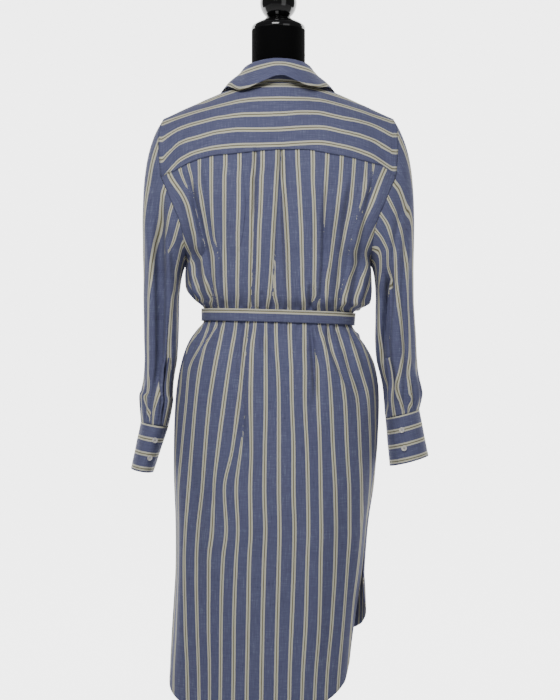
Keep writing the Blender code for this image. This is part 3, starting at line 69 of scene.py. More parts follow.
# ---------------------------------------------------------------- what a user would change
class ClothSettings(PropertyGroup):
    pitch: FloatProperty(
        name="Stripe spacing", description="From one double stripe to the next",
        default=PITCH, unit="LENGTH")
    bar_outer: FloatProperty(
        name="Bar outer edge", description="From a stripe's middle to its outer edge",
        default=0.0039, unit="LENGTH")
    bar_inner: FloatProperty(
        name="Bar inner edge", description="Where a pale bar starts beside the middle line",
        default=0.0010, unit="LENGTH")
    blue: FloatVectorProperty(
        name="Chambray", description="The ground colour of the cloth",
        default=(0.118, 0.126, 0.226), size=3, subtype="COLOR", min=0, max=1)
    blue_pale: FloatVectorProperty(
        name="Pale yarn", description="The paler yarns that fleck the ground",
        default=(0.285, 0.315, 0.460), size=3, subtype="COLOR", min=0, max=1)
    blue_deep: FloatVectorProperty(
        name="Dark yarn", description="The darker yarns that fleck the ground",
        default=(0.040, 0.040, 0.105), size=3, subtype="COLOR", min=0, max=1)
    cream: FloatVectorProperty(
        name="Cream", description="The two pale bars of a stripe",
        default=(0.680, 0.660, 0.530), size=3, subtype="COLOR", min=0, max=1)
    olive: FloatVectorProperty(
        name="Olive", description="The line between the bars",
        default=(0.200, 0.185, 0.120), size=3, subtype="COLOR", min=0, max=1)
    roughness: FloatProperty(
        name="Roughness", description="How matt the cloth is",
        default=0.86, min=0, max=1, subtype="FACTOR")


class ButtonSettings(PropertyGroup):
    radius: FloatProperty(
        name="Button radius", description="Half a shirt button's width",
        default=0.0052, unit="LENGTH")
    thick: FloatProperty(
        name="Button thickness", description="From its back to its rim",
        default=0.0024, unit="LENGTH")
    pearl: FloatVectorProperty(
        name="Pearl", description="The colour of the buttons",
        default=(0.72, 0.68, 0.58), size=3, subtype="COLOR", min=0, max=1)


class FormSettings(PropertyGroup):
    cover: FloatVectorProperty(
        name="Cover", description="The matt cloth cover of the form",
        default=(0.0032, 0.0032, 0.0034), size=3, subtype="COLOR", min=0, max=1)
    gloss: FloatVectorProperty(
        name="Lacquer", description="The lacquer of the neck cap and the finial",
        default=(0.0035, 0.0035, 0.0040), size=3, subtype="COLOR", min=0, max=1)
    metal: FloatVectorProperty(
        name="Metal", description="The powder-coated pole and base",
        default=(0.010, 0.010, 0.011), size=3, subtype="COLOR", min=0, max=1)


class StageSettings(PropertyGroup):
    backdrop: FloatProperty(
        name="Backdrop", description="How bright the seamless backdrop glows",
        default=4.2, min=0, max=9)
    key: FloatProperty(
        name="Main light", description="Power of the large soft light",
        default=42.0, min=0, unit="POWER")
    fill: FloatProperty(
        name="Fill light", description="Power of the light on the other side",
        default=8.0, min=0, unit="POWER")
    front: FloatProperty(
        name="Front light", description="Power of the light on the dress's front",
        default=15.0, min=0, unit="POWER")
    world: FloatProperty(
        name="Room light", description="Strength of the even light of the room",
        default=0.12, min=0, max=4)


class DressSettings(PropertyGroup):
    cloth: PointerProperty(type=ClothSettings)
    button: PointerProperty(type=ButtonSettings)
    form: PointerProperty(type=FormSettings)
    stage: PointerProperty(type=StageSettings)


# ---------------------------------------------------------------- shader maths
class Val:
    """A node's socket that Python's operators work on."""

    def __init__(self, tree, socket):
        self.tree = tree
        self.socket = socket

    def math(self, operation, *others, clamp=False):
        values = [self] + list(others)
        return self.tree.node("ShaderNodeMath", {"operation": operation, "use_clamp": clamp},
                              dict(enumerate(values)))

    def __add__(self, other):
        return self.math("ADD", other)

    def __sub__(self, other):
        return self.math("SUBTRACT", other)

    def __mul__(self, other):
        return self.math("MULTIPLY", other)

    def __truediv__(self, other):
        return self.math("DIVIDE", other)

    def __rsub__(self, other):
        return self.tree.node("ShaderNodeMath", {"operation": "SUBTRACT"}, {0: other, 1: self})

    __radd__ = __add__
    __rmul__ = __mul__

    def clamp(self):
        return self.math("ADD", 0.0, clamp=True)

    def ramp(self, low, high):
        """0 below low and 1 above high, soft between."""
        return self.tree.node("ShaderNodeMapRange", {"interpolation_type": "SMOOTHSTEP"},
                              {"Value": self, "From Min": low, "From Max": high})


class Tree:
    """One material's nodes."""

    def __init__(self, name):
        self.material = bpy.data.materials.new(name)
        self.material.use_nodes = True
        self.nodes = self.material.node_tree.nodes
        self.links = self.material.node_tree.links
        self.shader = self.nodes["Principled BSDF"]

    def node(self, kind, settings=None, inputs=None, output=0):
        made = self.nodes.new(kind)
        for name, value in (settings or {}).items():
            setattr(made, name, value)
        for name, value in (inputs or {}).items():
            self.put(made.inputs[name], value)
        return Val(self, made.outputs[output])

    def put(self, socket, value):
        if isinstance(value, Val):
            self.links.new(value.socket, socket)
        elif socket.type == "RGBA" and len(value) == 3:
            socket.default_value = (*value, 1.0)
        else:
            socket.default_value = value

    def mix(self, share, first, second):
        """A colour between two others."""
        return self.node("ShaderNodeMix", {"data_type": "RGBA"},
                         {0: share, 6: first, 7: second}, 2)

    def place(self):
        """Where a point lies in the object's own measure."""
        return self.node("ShaderNodeTexCoord", output=3)

    def noise(self, place, scale, detail=2.0, rough=0.5):
        return self.node("ShaderNodeTexNoise", None,
                         {"Vector": place, "Scale": scale, "Detail": detail, "Roughness": rough})

    def scaled(self, place, scale):
        return self.node("ShaderNodeVectorMath", {"operation": "MULTIPLY"}, {0: place, 1: scale})

    def bump(self, height, strength, distance):
        return self.node("ShaderNodeBump", None,
                         {"Height": height, "Strength": strength, "Distance": distance})

    def finish(self, colour, roughness, normal=None, **constants):
        self.put(self.shader.inputs["Base Color"], colour)
        self.put(self.shader.inputs["Roughness"], roughness)
        if normal is not None:
            self.put(self.shader.inputs["Normal"], normal)
        for name, value in constants.items():
            self.shader.inputs[name.replace("_", " ")].default_value = value
        return self.material


def striped_chambray(cloth):
    """Double cream stripes on a flecked blue ground, laid by the cloth's own map."""
    tree = Tree("striped chambray")
    uv = tree.node("ShaderNodeUVMap", {"uv_map": "cloth"})
    across = tree.node("ShaderNodeSeparateXYZ", None, {0: uv}, output=0)

    def yarn(across_scale, along_scale, detail=3.0, rough=0.65):
        return tree.noise(tree.scaled(uv, (across_scale, along_scale, 0.0)), 1.0, detail, rough)

    along_yarn = yarn(1500.0, 60.0)
    cross_yarn = yarn(70.0, 1300.0)
    slub = yarn(560.0, 34.0)
    weft_slub = yarn(36.0, 560.0, 2.0, 0.6)
    cloud = yarn(11.0, 9.0, 3.0, 0.6)
    # the edges of a stripe wander by a fraction of a yarn
    wander = (yarn(30.0, 420.0, 1.0, 0.5) - 0.5) * 0.0009
    # a hundred turns keep the number above zero; half a turn puts a stripe in the middle of one
    turns = (across + wander) / cloth.pitch + 100.5
    from_middle = (turns.math("FRACT") - 0.5).math("ABSOLUTE") * cloth.pitch
    soft = 0.00032
    inside = 1.0 - from_middle.ramp(cloth.bar_outer - soft, cloth.bar_outer + soft)
    line = 1.0 - from_middle.ramp(cloth.bar_inner - soft, cloth.bar_inner + soft)
    fleck = ((along_yarn * 0.55 + cross_yarn * 0.45 - 0.5) * 2.0 + (slub - 0.5) * 1.5
             + (weft_slub - 0.5) * 0.9)
    pale = (fleck + (cloud - 0.5) * 0.5).ramp(0.02, 0.85)
    deep = (0.0 - fleck - (cloud - 0.5) * 0.4).ramp(0.02, 0.90)
    ground = tree.mix(pale * 0.85, cloth.blue, cloth.blue_pale)
    ground = tree.mix(deep * 0.85, ground, cloth.blue_deep)
    worn_cream = (0.40, 0.40, 0.36)
    cream = tree.mix((fleck * 0.8 + 0.25).clamp() * 0.30, cloth.cream, worn_cream)
    stripe = tree.mix(line, cream, cloth.olive)
    colour = tree.mix(inside, ground, stripe)
    thread = (along_yarn + cross_yarn) * 0.5 + slub * 0.35
    normal = tree.bump(thread + inside * 0.10, 0.50, 0.00045)
    rough = cloth.roughness + (along_yarn - 0.5) * 0.14
    return tree.finish(colour, rough, normal, Sheen_Weight=0.10, Sheen_Roughness=0.45,
                       Specular_IOR_Level=0.22)


def sewing_thread():
    """The twisted blue thread of the topstitching."""
    tree = Tree("sewing thread")
    place = tree.place()
    twist = tree.noise(place, 2600.0, 1.0)
    colour = tree.mix(twist, (0.080, 0.092, 0.190), (0.170, 0.190, 0.330))
    return tree.finish(colour, 0.6, tree.bump(twist, 0.4, 0.0002))


def pearl_button(settings):
    """Clouded mother-of-pearl under a clear coat."""
    tree = Tree("pearl button")
    place = tree.place()
    cloud = tree.noise(place, 260.0, 3.0, 0.6)
    colour = tree.mix(cloud.ramp(0.35, 0.70), settings.pearl, (0.80, 0.80, 0.84))
    return tree.finish(colour, 0.22 + cloud * 0.12, tree.bump(cloud, 0.08, 0.0004),
                       Coat_Weight=0.35, Coat_Roughness=0.12)


def cover_cloth(settings):
    """The stretched jersey over the form."""
    tree = Tree("form cover")
    place = tree.place()
    knit = tree.noise(place, 1400.0, 2.0, 0.6)
    worn = tree.noise(place, 18.0, 3.0)
    colour = tree.mix(worn.ramp(0.45, 0.80) * 0.6, settings.cover, (0.0035, 0.0035, 0.0038))
    return tree.finish(colour, 0.84 + knit * 0.12, tree.bump(knit, 0.35, 0.0003),
                       Specular_IOR_Level=0.06)


def black_lacquer(settings):
    """Glossy lacquer with a little dust."""
    tree = Tree("black lacquer")
    place = tree.place()
    orange_peel = tree.noise(place, 90.0, 2.0)
    dust = tree.noise(place, 700.0, 2.0).ramp(0.62, 0.80)
    colour = tree.mix(dust * 0.25, settings.gloss, (0.030, 0.028, 0.026))
    return tree.finish(colour, 0.09 + dust * 0.12, tree.bump(orange_peel, 0.05, 0.0006),
                       Coat_Weight=0.5, Coat_Roughness=0.05)


def powder_coat(settings):
    """Grained black paint on steel, scuffed here and there."""
    tree = Tree("powder-coated steel")
    place = tree.place()
    grain = tree.noise(place, 900.0, 2.0)
    scuff = tree.noise(place, 24.0, 4.0, 0.7).ramp(0.60, 0.82)
    colour = tree.mix(scuff * 0.5, settings.metal, (0.045, 0.045, 0.048))
    return tree.finish(colour, 0.36 + grain * 0.16, tree.bump(grain, 0.20, 0.0003))


# ---------------------------------------------------------------- curves and grids
def smooth(value, low, high):
    """0 below low and 1 above high, soft between."""
    t = np.clip((np.asarray(value, float) - low) / (high - low), 0.0, 1.0)
    return t * t * (3.0 - 2.0 * t)


def hill(value, low, full, falling, gone):
    """1 from full to falling, 0 below low and above gone, soft between."""
    return smooth(value, low, full) * (1.0 - smooth(value, falling, gone))


def line_at(places, stops, line):
    """The points of a line at places along it."""
    return np.stack([np.interp(places, stops, line[:, axis]) for axis in range(3)], axis=-1)


def pchip(x, y, at):
    """A smooth curve through a table's points that never overshoots them."""
    x = np.asarray(x, float)
    y = np.asarray(y, float)
    at = np.clip(at, x[0], x[-1])
    step = np.diff(x)
    slope = np.diff(y) / step
    tangent = np.zeros_like(y)
    same = slope[:-1] * slope[1:] > 0
    total = step[:-1] + step[1:]
    safe = np.where(same, slope[:-1], 1.0)
    safe_next = np.where(same, slope[1:], 1.0)
    weight = (total + step[1:]) / safe + (total + step[:-1]) / safe_next
    tangent[1:-1] = np.where(same, 3.0 * total / weight, 0.0)
    tangent[0] = slope[0]
    tangent[-1] = slope[-1]
    place = np.clip(np.searchsorted(x, at, side="right") - 1, 0, len(x) - 2)
    width = step[place]
    t = (at - x[place]) / width
    return ((1 + 2 * t) * (1 - t) ** 2 * y[place] + t * (1 - t) ** 2 * width * tangent[place]
            + t * t * (3 - 2 * t) * y[place + 1] + t * t * (t - 1) * width * tangent[place + 1])


def read_between(values, places, closed=False):
    """Cubic reading of an array along its first axis at fractional places."""
    count = len(values)
    low = np.floor(places).astype(int)
    if not closed:
        low = np.clip(low, 0, count - 2)
    t = (places - low).reshape((-1,) + (1,) * (values.ndim - 1))

    def at(index):
        if closed:
            return values[index % count]
        inner = values[np.clip(index, 0, count - 1)]
        before = 2.0 * values[0] - values[1]
        after = 2.0 * values[-1] - values[-2]
        shape = (-1,) + (1,) * (values.ndim - 1)
        inner = np.where((index < 0).reshape(shape), before, inner)
        return np.where((index > count - 1).reshape(shape), after, inner)

    p0, p1, p2, p3 = at(low - 1), at(low), at(low + 1), at(low + 2)
    return p1 + 0.5 * t * (p2 - p0 + t * (2 * p0 - 5 * p1 + 4 * p2 - p3
                                          + t * (3 * (p1 - p2) + p3 - p0)))


def finer(grid, rows, cols, closed=False):
    """A grid read again at more rows and columns."""
    grid = read_between(grid, np.linspace(0.0, len(grid) - 1.0, rows))
    turned = grid.swapaxes(0, 1)
    if closed:
        places = np.arange(cols) * (len(turned) / cols)
    else:
        places = np.linspace(0.0, len(turned) - 1.0, cols)
    return read_between(turned, places, closed).swapaxes(0, 1)


def even_columns(grid, cols):
    """Each row read again at even steps of its own length."""
    step = np.linalg.norm(np.diff(grid, axis=1), axis=2).mean(axis=0)
    run = np.concatenate(([0.0], np.cumsum(step)))
    places = np.interp(np.linspace(0.0, run[-1], cols), run, np.arange(len(run)))
    return read_between(grid.swapaxes(0, 1), places).swapaxes(0, 1)


def runs(grid, axis):
    """How far each point of a grid lies along its row (1) or column (0)."""
    step = np.linalg.norm(np.diff(grid, axis=axis), axis=2)
    pad = [(0, 0), (0, 0)]
    pad[axis] = (1, 0)
    return np.cumsum(np.pad(step, pad), axis=axis)


def grid_normals(grid, closed=False, inside=None):
    """Unit normals of a grid, turned away from a place or a line inside the piece."""
    along = np.gradient(grid, axis=0)
    if closed:
        across = (np.roll(grid, -1, axis=1) - np.roll(grid, 1, axis=1)) / 2.0
    else:
        across = np.gradient(grid, axis=1)
    normal = np.cross(along, across)
    normal /= np.maximum(np.linalg.norm(normal, axis=2, keepdims=True), 1e-12)
    centre = grid.mean(axis=1, keepdims=True) if inside is None else np.asarray(inside)
    if np.sum((grid - centre)[..., :2] * normal[..., :2]) < 0.0:
        normal = -normal
    return normal


# ---------------------------------------------------------------- reading the solids' walls
CORNERS = {          # where the first row of each wall begins, and a place that it runs to
    "back": ((-0.212, 0.062, 1.272), (0.212, 0.062, 1.272)),
    "yoke": ((0.0775, -0.056, 1.402), (-0.0775, -0.056, 1.402)),
    "collar_stand": ((-0.059, -0.088, 1.406), (0.059, -0.088, 1.406)),
    "collar": ((-0.059, -0.088, 1.406), (0.059, -0.088, 1.406)),
    "front_left": ((-0.013, -0.119, 1.305), (0.202, -0.056, 1.33)),
    "front_right": ((-0.0153, -0.119, 1.305), (-0.202, -0.056, 1.33)),
    "sleeve_left": ((0.21, 0.0, 1.38), (0.21, 0.06, 1.37)),
    "sleeve_right": ((-0.21, 0.0, 1.38), (-0.21, 0.06, 1.37)),
    "sleeve_placket_left": ((0.2, 0.02, 0.95), (0.22, 0.02, 0.95)),
    "sleeve_placket_right": ((-0.2, 0.02, 0.95), (-0.22, 0.02, 0.95)),
    "cuff_left": ((0.2088, 0.0175, 0.8175), (0.2172, 0.0283, 0.8189)),
    "cuff_right": ((-0.2199, 0.0284, 0.8378), (-0.2086, 0.0212, 0.8350)),
    "belt": ((-0.015, -0.112, 1.0303), (-0.007, -0.113, 1.0305)),
    "belt_tail_left": ((0.007, -0.118, 1.006), (-0.003, -0.118, 1.006)),
    "belt_tail_right": ((-0.0165, -0.118, 1.006), (-0.0268, -0.118, 1.006)),
}
GRIDS = {            # rows and columns that the walls are read again at
    "back": (216, 205), "yoke": (41, 271), "stand": (14, 161), "collar": (49, 181),
    "sleeve": (150, 132), "placket": (40, 9), "cuff": (33, 193), "front": (190, 113),
    "belt": (11, 401), "belt_tail": (80, 11),
}
STRIPE_STARTS = {    # from the middle of a stripe to where a piece's measure begins
    "stand": 0.0070, "collar": -0.0145, "placket": -0.0100, "cuff": 0.0010, "front": 0.0030,
    "band": -0.0140, "belt": -0.0037, "belt_tail": -0.0058, "knot": 0.0080,
}
RIM_MATCH = 6e-7     # an edge this near to the cloth's thickness lies across a rim
SIDES = (("left", 1.0), ("right", -1.0))         # the wearer's sides, and the way across to each
INSIDE, NECK = (0.0, 0.0, 0.0), (0.0, -0.01, 0.0)     # up the middle of the form and its neck


def skin_of(node):
    """The corner points and triangles of a solid, its loose triangles joined."""
    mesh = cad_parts[node].data
    points = np.empty(len(mesh.vertices) * 3)
    mesh.vertices.foreach_get("co", points)
    points = points.reshape(-1, 3)
    mesh.calc_loop_triangles()
    corners = np.empty(len(mesh.loop_triangles) * 3, int)
    mesh.loop_triangles.foreach_get("vertices", corners)
    _, first, place = np.unique(np.round(points, 6), axis=0, return_index=True,
                                return_inverse=True)
    return points[first], place.reshape(-1)[corners].reshape(-1, 3)


def wall_sides(points, faces, thick):
    """The two faces of a wall as lists of triangles, without the rims that join them."""
    corners = points[faces]
    edges = np.linalg.norm(corners - np.roll(corners, -1, axis=1), axis=2)
    body = faces[~(np.abs(edges - thick) < RIM_MATCH).any(axis=1)].tolist()
    parent = list(range(len(points)))

    def root(item):
        while parent[item] != item:
            parent[item] = parent[parent[item]]
            item = parent[item]
        return item

    for first, second, third in body:
        parent[root(second)] = root(first)
        parent[root(third)] = root(first)
    sides = {}
    for face in body:
        sides.setdefault(root(face[0]), []).append(face)
    return sorted(sides.values(), key=len)[-2:]


def next_row(beside, line, begin, used, closed):
    """The row of a grid after a known one, from its first point."""
    new = [begin]
    for left, right in zip(line, line[1:] + line[:1] if closed else line[1:]):
        tip = [item for item in beside[frozenset((left, right))] if item not in used]
        if len(tip) != 1:
            return None
        if tip[0] == new[-1]:
            tip = [item for item in beside.get(frozenset((right, tip[0])), [])
                   if item != left and item not in used]
            if len(tip) != 1:
                return None
        elif new[-1] not in beside.get(frozenset((left, tip[0])), []):
            return None
        new.append(tip[0])
    if closed and new.pop() != begin:
        return None
    return new if len(set(new)) == len(new) else None


def rows_of(faces, points, start, along):
    """Rows and columns of one face of a wall, found by walking over its triangles."""
    beside = {}
    for face in faces:
        for turn in range(3):
            edge = frozenset((face[turn], face[(turn + 1) % 3]))
            beside.setdefault(edge, []).append(face[(turn + 2) % 3])
    rim = {}
    for edge, tips in beside.items():
        if len(tips) == 1:
            for one, other in (tuple(edge), tuple(edge)[::-1]):
                rim.setdefault(one, []).append(other)
    first = min(rim, key=lambda item: np.linalg.norm(points[item] - np.array(start)))
    loop = [first, rim[first][0]]
    while True:
        after = [item for item in rim[loop[-1]] if item != loop[-2]]
        if after[0] == first:
            break
        loop.append(after[0])
    count = len({item for face in faces for item in face})
    closed = len(rim) > len(loop)
    sizes = [len(loop)]
    if not closed:
        half = len(loop) / 2 + 2
        spread = (half * half - 4 * count) ** 0.5
        sizes = [round((half - spread) / 2), round((half + spread) / 2)]
    ways = [(way, size) for way in (loop, loop[:1] + loop[:0:-1]) for size in sizes]
    near = 1 if closed else -1
    loop, cols = min(ways, key=lambda way: np.linalg.norm(points[way[0][near % way[1]]]
                                                          - np.array(along)))
    line = loop[:cols]
    grid = [line]
    used = set(line)
    for row in range(1, round(count / cols)):
        tries = [loop[-row]]
        if closed:
            tries = {item for edge in beside if line[0] in edge for item in edge} - used
            tries = sorted(tries, key=lambda item: np.linalg.norm(points[item] - points[line[0]]))
        new = next((made for made in (next_row(beside, line, begin, used, closed)
                                      for begin in tries) if made), None)
        if new is None:
            raise ValueError("the wall is not a grid at row %d" % row)
        grid.append(new)
        used.update(new)
        line = new
    return np.array(grid)


def wall_grid(node):
    """The middle surface of a wall as rows of points, from its corner on."""
    points, faces = skin_of(node)
    thick = BELT_CLOTH if node.startswith("belt") else CLOTH
    first, second = (points[rows_of(side, points, *CORNERS[node])]
                     for side in wall_sides(points, faces, thick))
    return (first + second) / 2.0


# ---------------------------------------------------------------- cloth as a piece
def add_piece(name, points, faces, material, uvs=None, rounded=True):
    """A mesh from points and arrays of faces; its map is given corner by corner."""
    mesh = bpy.data.meshes.new(name)
    corners = np.concatenate([part.ravel() for part in faces]).astype(np.int32)
    sizes = np.concatenate([np.full(len(part), part.shape[1]) for part in faces])
    mesh.vertices.add(len(points))
    mesh.vertices.foreach_set("co", np.asarray(points, np.float32).ravel())
    mesh.loops.add(len(corners))
    mesh.loops.foreach_set("vertex_index", corners)
    mesh.polygons.add(len(sizes))
    starts = np.concatenate(([0], np.cumsum(sizes)[:-1])).astype(np.int32)
    mesh.polygons.foreach_set("loop_start", starts)
    mesh.polygons.foreach_set("use_smooth", np.full(len(sizes), rounded))
    if uvs is not None:
        layer = mesh.uv_layers.new(name="cloth")
        layer.data.foreach_set("uv", np.asarray(uvs, np.float32).ravel())
    mesh.update(calc_edges=True)
    mesh.validate()
    mesh.materials.append(material)
    piece = bpy.data.objects.new(name, mesh)
    bpy.context.scene.collection.objects.link(piece)
    return piece


def settings():
    """What a user has set in the panel's properties."""
    return bpy.context.scene.shirt_dress


def cloth_material():
    """The one striped cloth that all sheets share."""
    found = bpy.data.materials.get("striped chambray")
    return found or striped_chambray(settings().cloth)


def dress_piece(piece, node):
    """A finished piece moves with the part and stands for its solid."""
    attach(piece, "root")
    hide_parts(node)


SEWN = {}       # the middle surface and normals of each cloth piece, for its stitching


def sew_sheet(name, node, grid, normals, uv, thick=CLOTH, closed=False, folded=False):
    """A closed double wall about a middle surface, put in place of its solid."""
    SEWN[name] = (grid, normals, thick)
    rows, cols = grid.shape[:2]
    points = np.concatenate([(grid + normals * thick / 2.0).reshape(-1, 3),
                             (grid - normals * thick / 2.0).reshape(-1, 3)])
    index = np.arange(rows * cols).reshape(rows, cols)
    if closed:
        index = np.concatenate([index, index[:, :1]], axis=1)
    shift = rows * cols

    def corners(table):
        return np.stack([table[:-1, :-1], table[1:, :-1], table[1:, 1:], table[:-1, 1:]], axis=2)

    def strip(first, second):
        return np.stack([first[:-1], first[1:], second[1:], second[:-1]], axis=1)

    wall = corners(index).reshape(-1, 4)
    cells = folded_under(corners(uv)) if folded else corners(uv)
    faces, maps = [wall, (wall + shift)[:, ::-1]], [cells.reshape(-1, 4, 2)]
    maps.append(maps[0][:, ::-1])
    edges = [(index[0], uv[0], 1), (index[-1], uv[-1], -1)]
    if not closed:
        edges += [(index[:, 0], uv[:, 0], -1), (index[:, -1], uv[:, -1], 1)]
    for line, line_uv, way in edges:
        faces.append(strip(line, line + shift)[:, ::way])
        maps.append(strip(line_uv, line_uv)[:, ::way])
    faces, maps = np.concatenate(faces), np.concatenate(maps)
    facing = np.cross(grid[1:, :-1] - grid[:-1, :-1], grid[:-1, 1:] - grid[:-1, :-1])
    if np.sum(facing * normals[:-1, :-1]) < 0.0:
        faces, maps = faces[:, ::-1], maps[:, ::-1]
    dress_piece(add_piece(name, points, [faces], cloth_material(), maps), node)


FOLD_ACROSS, FOLD_ALONG = 0.0085, 0.0115     # a larger step of the map in a cell is a fold


def folded_under(maps):
    """The map of each cell; a cell with cloth folded away in it stays between two stripes."""
    turns = maps[..., 0] / PITCH
    whole = np.floor(turns)
    first, second, third, fourth = (maps[:, :, corner, 0] for corner in range(4))
    across = np.maximum(np.abs(fourth - first), np.abs(third - second))
    along = np.maximum(np.abs(second - first), np.abs(third - fourth))
    cut = ((across > FOLD_ACROSS) | (along > FOLD_ALONG))[..., None]
    out = maps.copy()
    out[..., 0] = np.where(cut, (whole[:, :, :1] + turns - whole) * PITCH, maps[..., 0])
    return out


def sew_pod(name, rings, material, uv=None):
    """A closed skin about a stack of rings, capped at both ends."""
    rows, cols = rings.shape[:2]
    points = np.concatenate([rings.reshape(-1, 3), rings[[0, -1]].mean(axis=1)])
    index = np.arange(rows * cols).reshape(rows, cols)
    after = np.roll(index, -1, axis=1)
    quads = np.stack([index[:-1], after[:-1], after[1:], index[1:]], axis=-1).reshape(-1, 4)
    low = np.stack([after[0], index[0], np.full(cols, rows * cols)], axis=-1)
    high = np.stack([index[-1], after[-1], np.full(cols, rows * cols + 1)], axis=-1)
    side = np.cross(rings[0, 1] - rings[0, 0], rings[1, 0] - rings[0, 0])
    faces = [quads, low, high]
    if np.dot(side, rings[0, 0] - rings[0].mean(axis=0)) < 0.0:
        faces = [part[:, ::-1] for part in faces]
    labels = np.concatenate([part.ravel() for part in faces])
    if uv is None:
        uv = points[:, [0, 2]]
    return add_piece(name, points, faces, material, uv[labels])


def seen(points):
    """Where points appear from behind: across and up, in metres at the middle of the form."""
    scale = VIEW_DISTANCE / (VIEW_DISTANCE - points[..., 1])
    return points[..., 0] * scale, VIEW_HEIGHT + (points[..., 2] - VIEW_HEIGHT) * scale


def crease(points, line, width, depth, lip, side):
    """How far a crease drawn as a line, in millimetres seen from behind, moves the cloth.

    The valley is as wide and deep as given; a soft lip stands beside it on the given side.
    """
    x, z = seen(points)
    line = np.asarray(line, float) / MM
    width, depth = width / MM, depth / MM
    best = np.full(x.shape, 9.0)
    signed = np.zeros(x.shape)
    share = np.zeros(x.shape)
    lengths = np.linalg.norm(np.diff(line, axis=0), axis=1)
    before = 0.0
    for first, second, length in zip(line[:-1], line[1:], lengths):
        dx, dz = (second - first) / length
        along = np.clip((x - first[0]) * dx + (z - first[1]) * dz, 0.0, length)
        gap = np.hypot(x - first[0] - along * dx, z - first[1] - along * dz)
        cross = (x - first[0]) * dz - (z - first[1]) * dx
        nearer = gap < best
        best = np.where(nearer, gap, best)
        signed = np.where(nearer, np.sign(cross) * gap, signed)
        share = np.where(nearer, (before + along) / lengths.sum(), share)
        before += length
    fade = hill(share, 0.0, 0.22, 0.78, 1.0)
    away = signed / width
    return depth * fade * (lip * np.exp(-(away * side - 1.7) ** 2)
                           + 0.5 * lip * np.exp(-(away * side + 1.9) ** 2) - np.exp(-away ** 2))


def pushed(grid, normals, out):
    """A grid moved along its normals."""
    return grid + normals * out[..., None]


def creases(points, table):
    """How far all the creases of a table move the cloth."""
    return sum(crease(points, *row) for row in table)


RUMPLES = {          # seed, size and depth of the rumples that washing leaves in each piece
    "back": ((3, 0.060, 0.00055), (4, 0.024, 0.00022)), "yoke": ((8, 0.050, 0.00030),),
    "sleeve_left": ((11, 0.050, 0.00050),), "sleeve_right": ((12, 0.050, 0.00050),),
    "front_left": ((21, 0.060, 0.00060),), "front_right": ((22, 0.060, 0.00060),),
    "stand": ((31, 0.030, 0.00020),), "collar": ((33, 0.045, 0.00040),),
    "placket": (), "cuff": ((51, 0.030, 0.00020),), "belt": ((61, 0.030, 0.00010),),
}
RUMPLE_WAVES = 14


def wrinkles(points, piece):
    """Fine uneven rumples of washed cloth, the same on every run."""
    out = np.zeros(points.shape[:2])
    for seed, size, depth in RUMPLES[piece]:
        maker = np.random.default_rng(seed)
        waves = np.zeros(points.shape[:2])
        for _ in range(RUMPLE_WAVES):
            way = maker.normal(size=3) * np.array([1.0, 1.0, 0.45])
            way /= np.linalg.norm(way)
            turn = maker.uniform(0.0, 2.0 * math.pi)
            wave = 2.0 * math.pi / (size * maker.uniform(0.6, 1.9))
            bend = np.sin(points[..., 2] * wave * 0.31 + turn) * 1.1
            waves += np.sin((points @ way) * wave + turn + bend)
        out += waves * depth / RUMPLE_WAVES ** 0.5
    return out


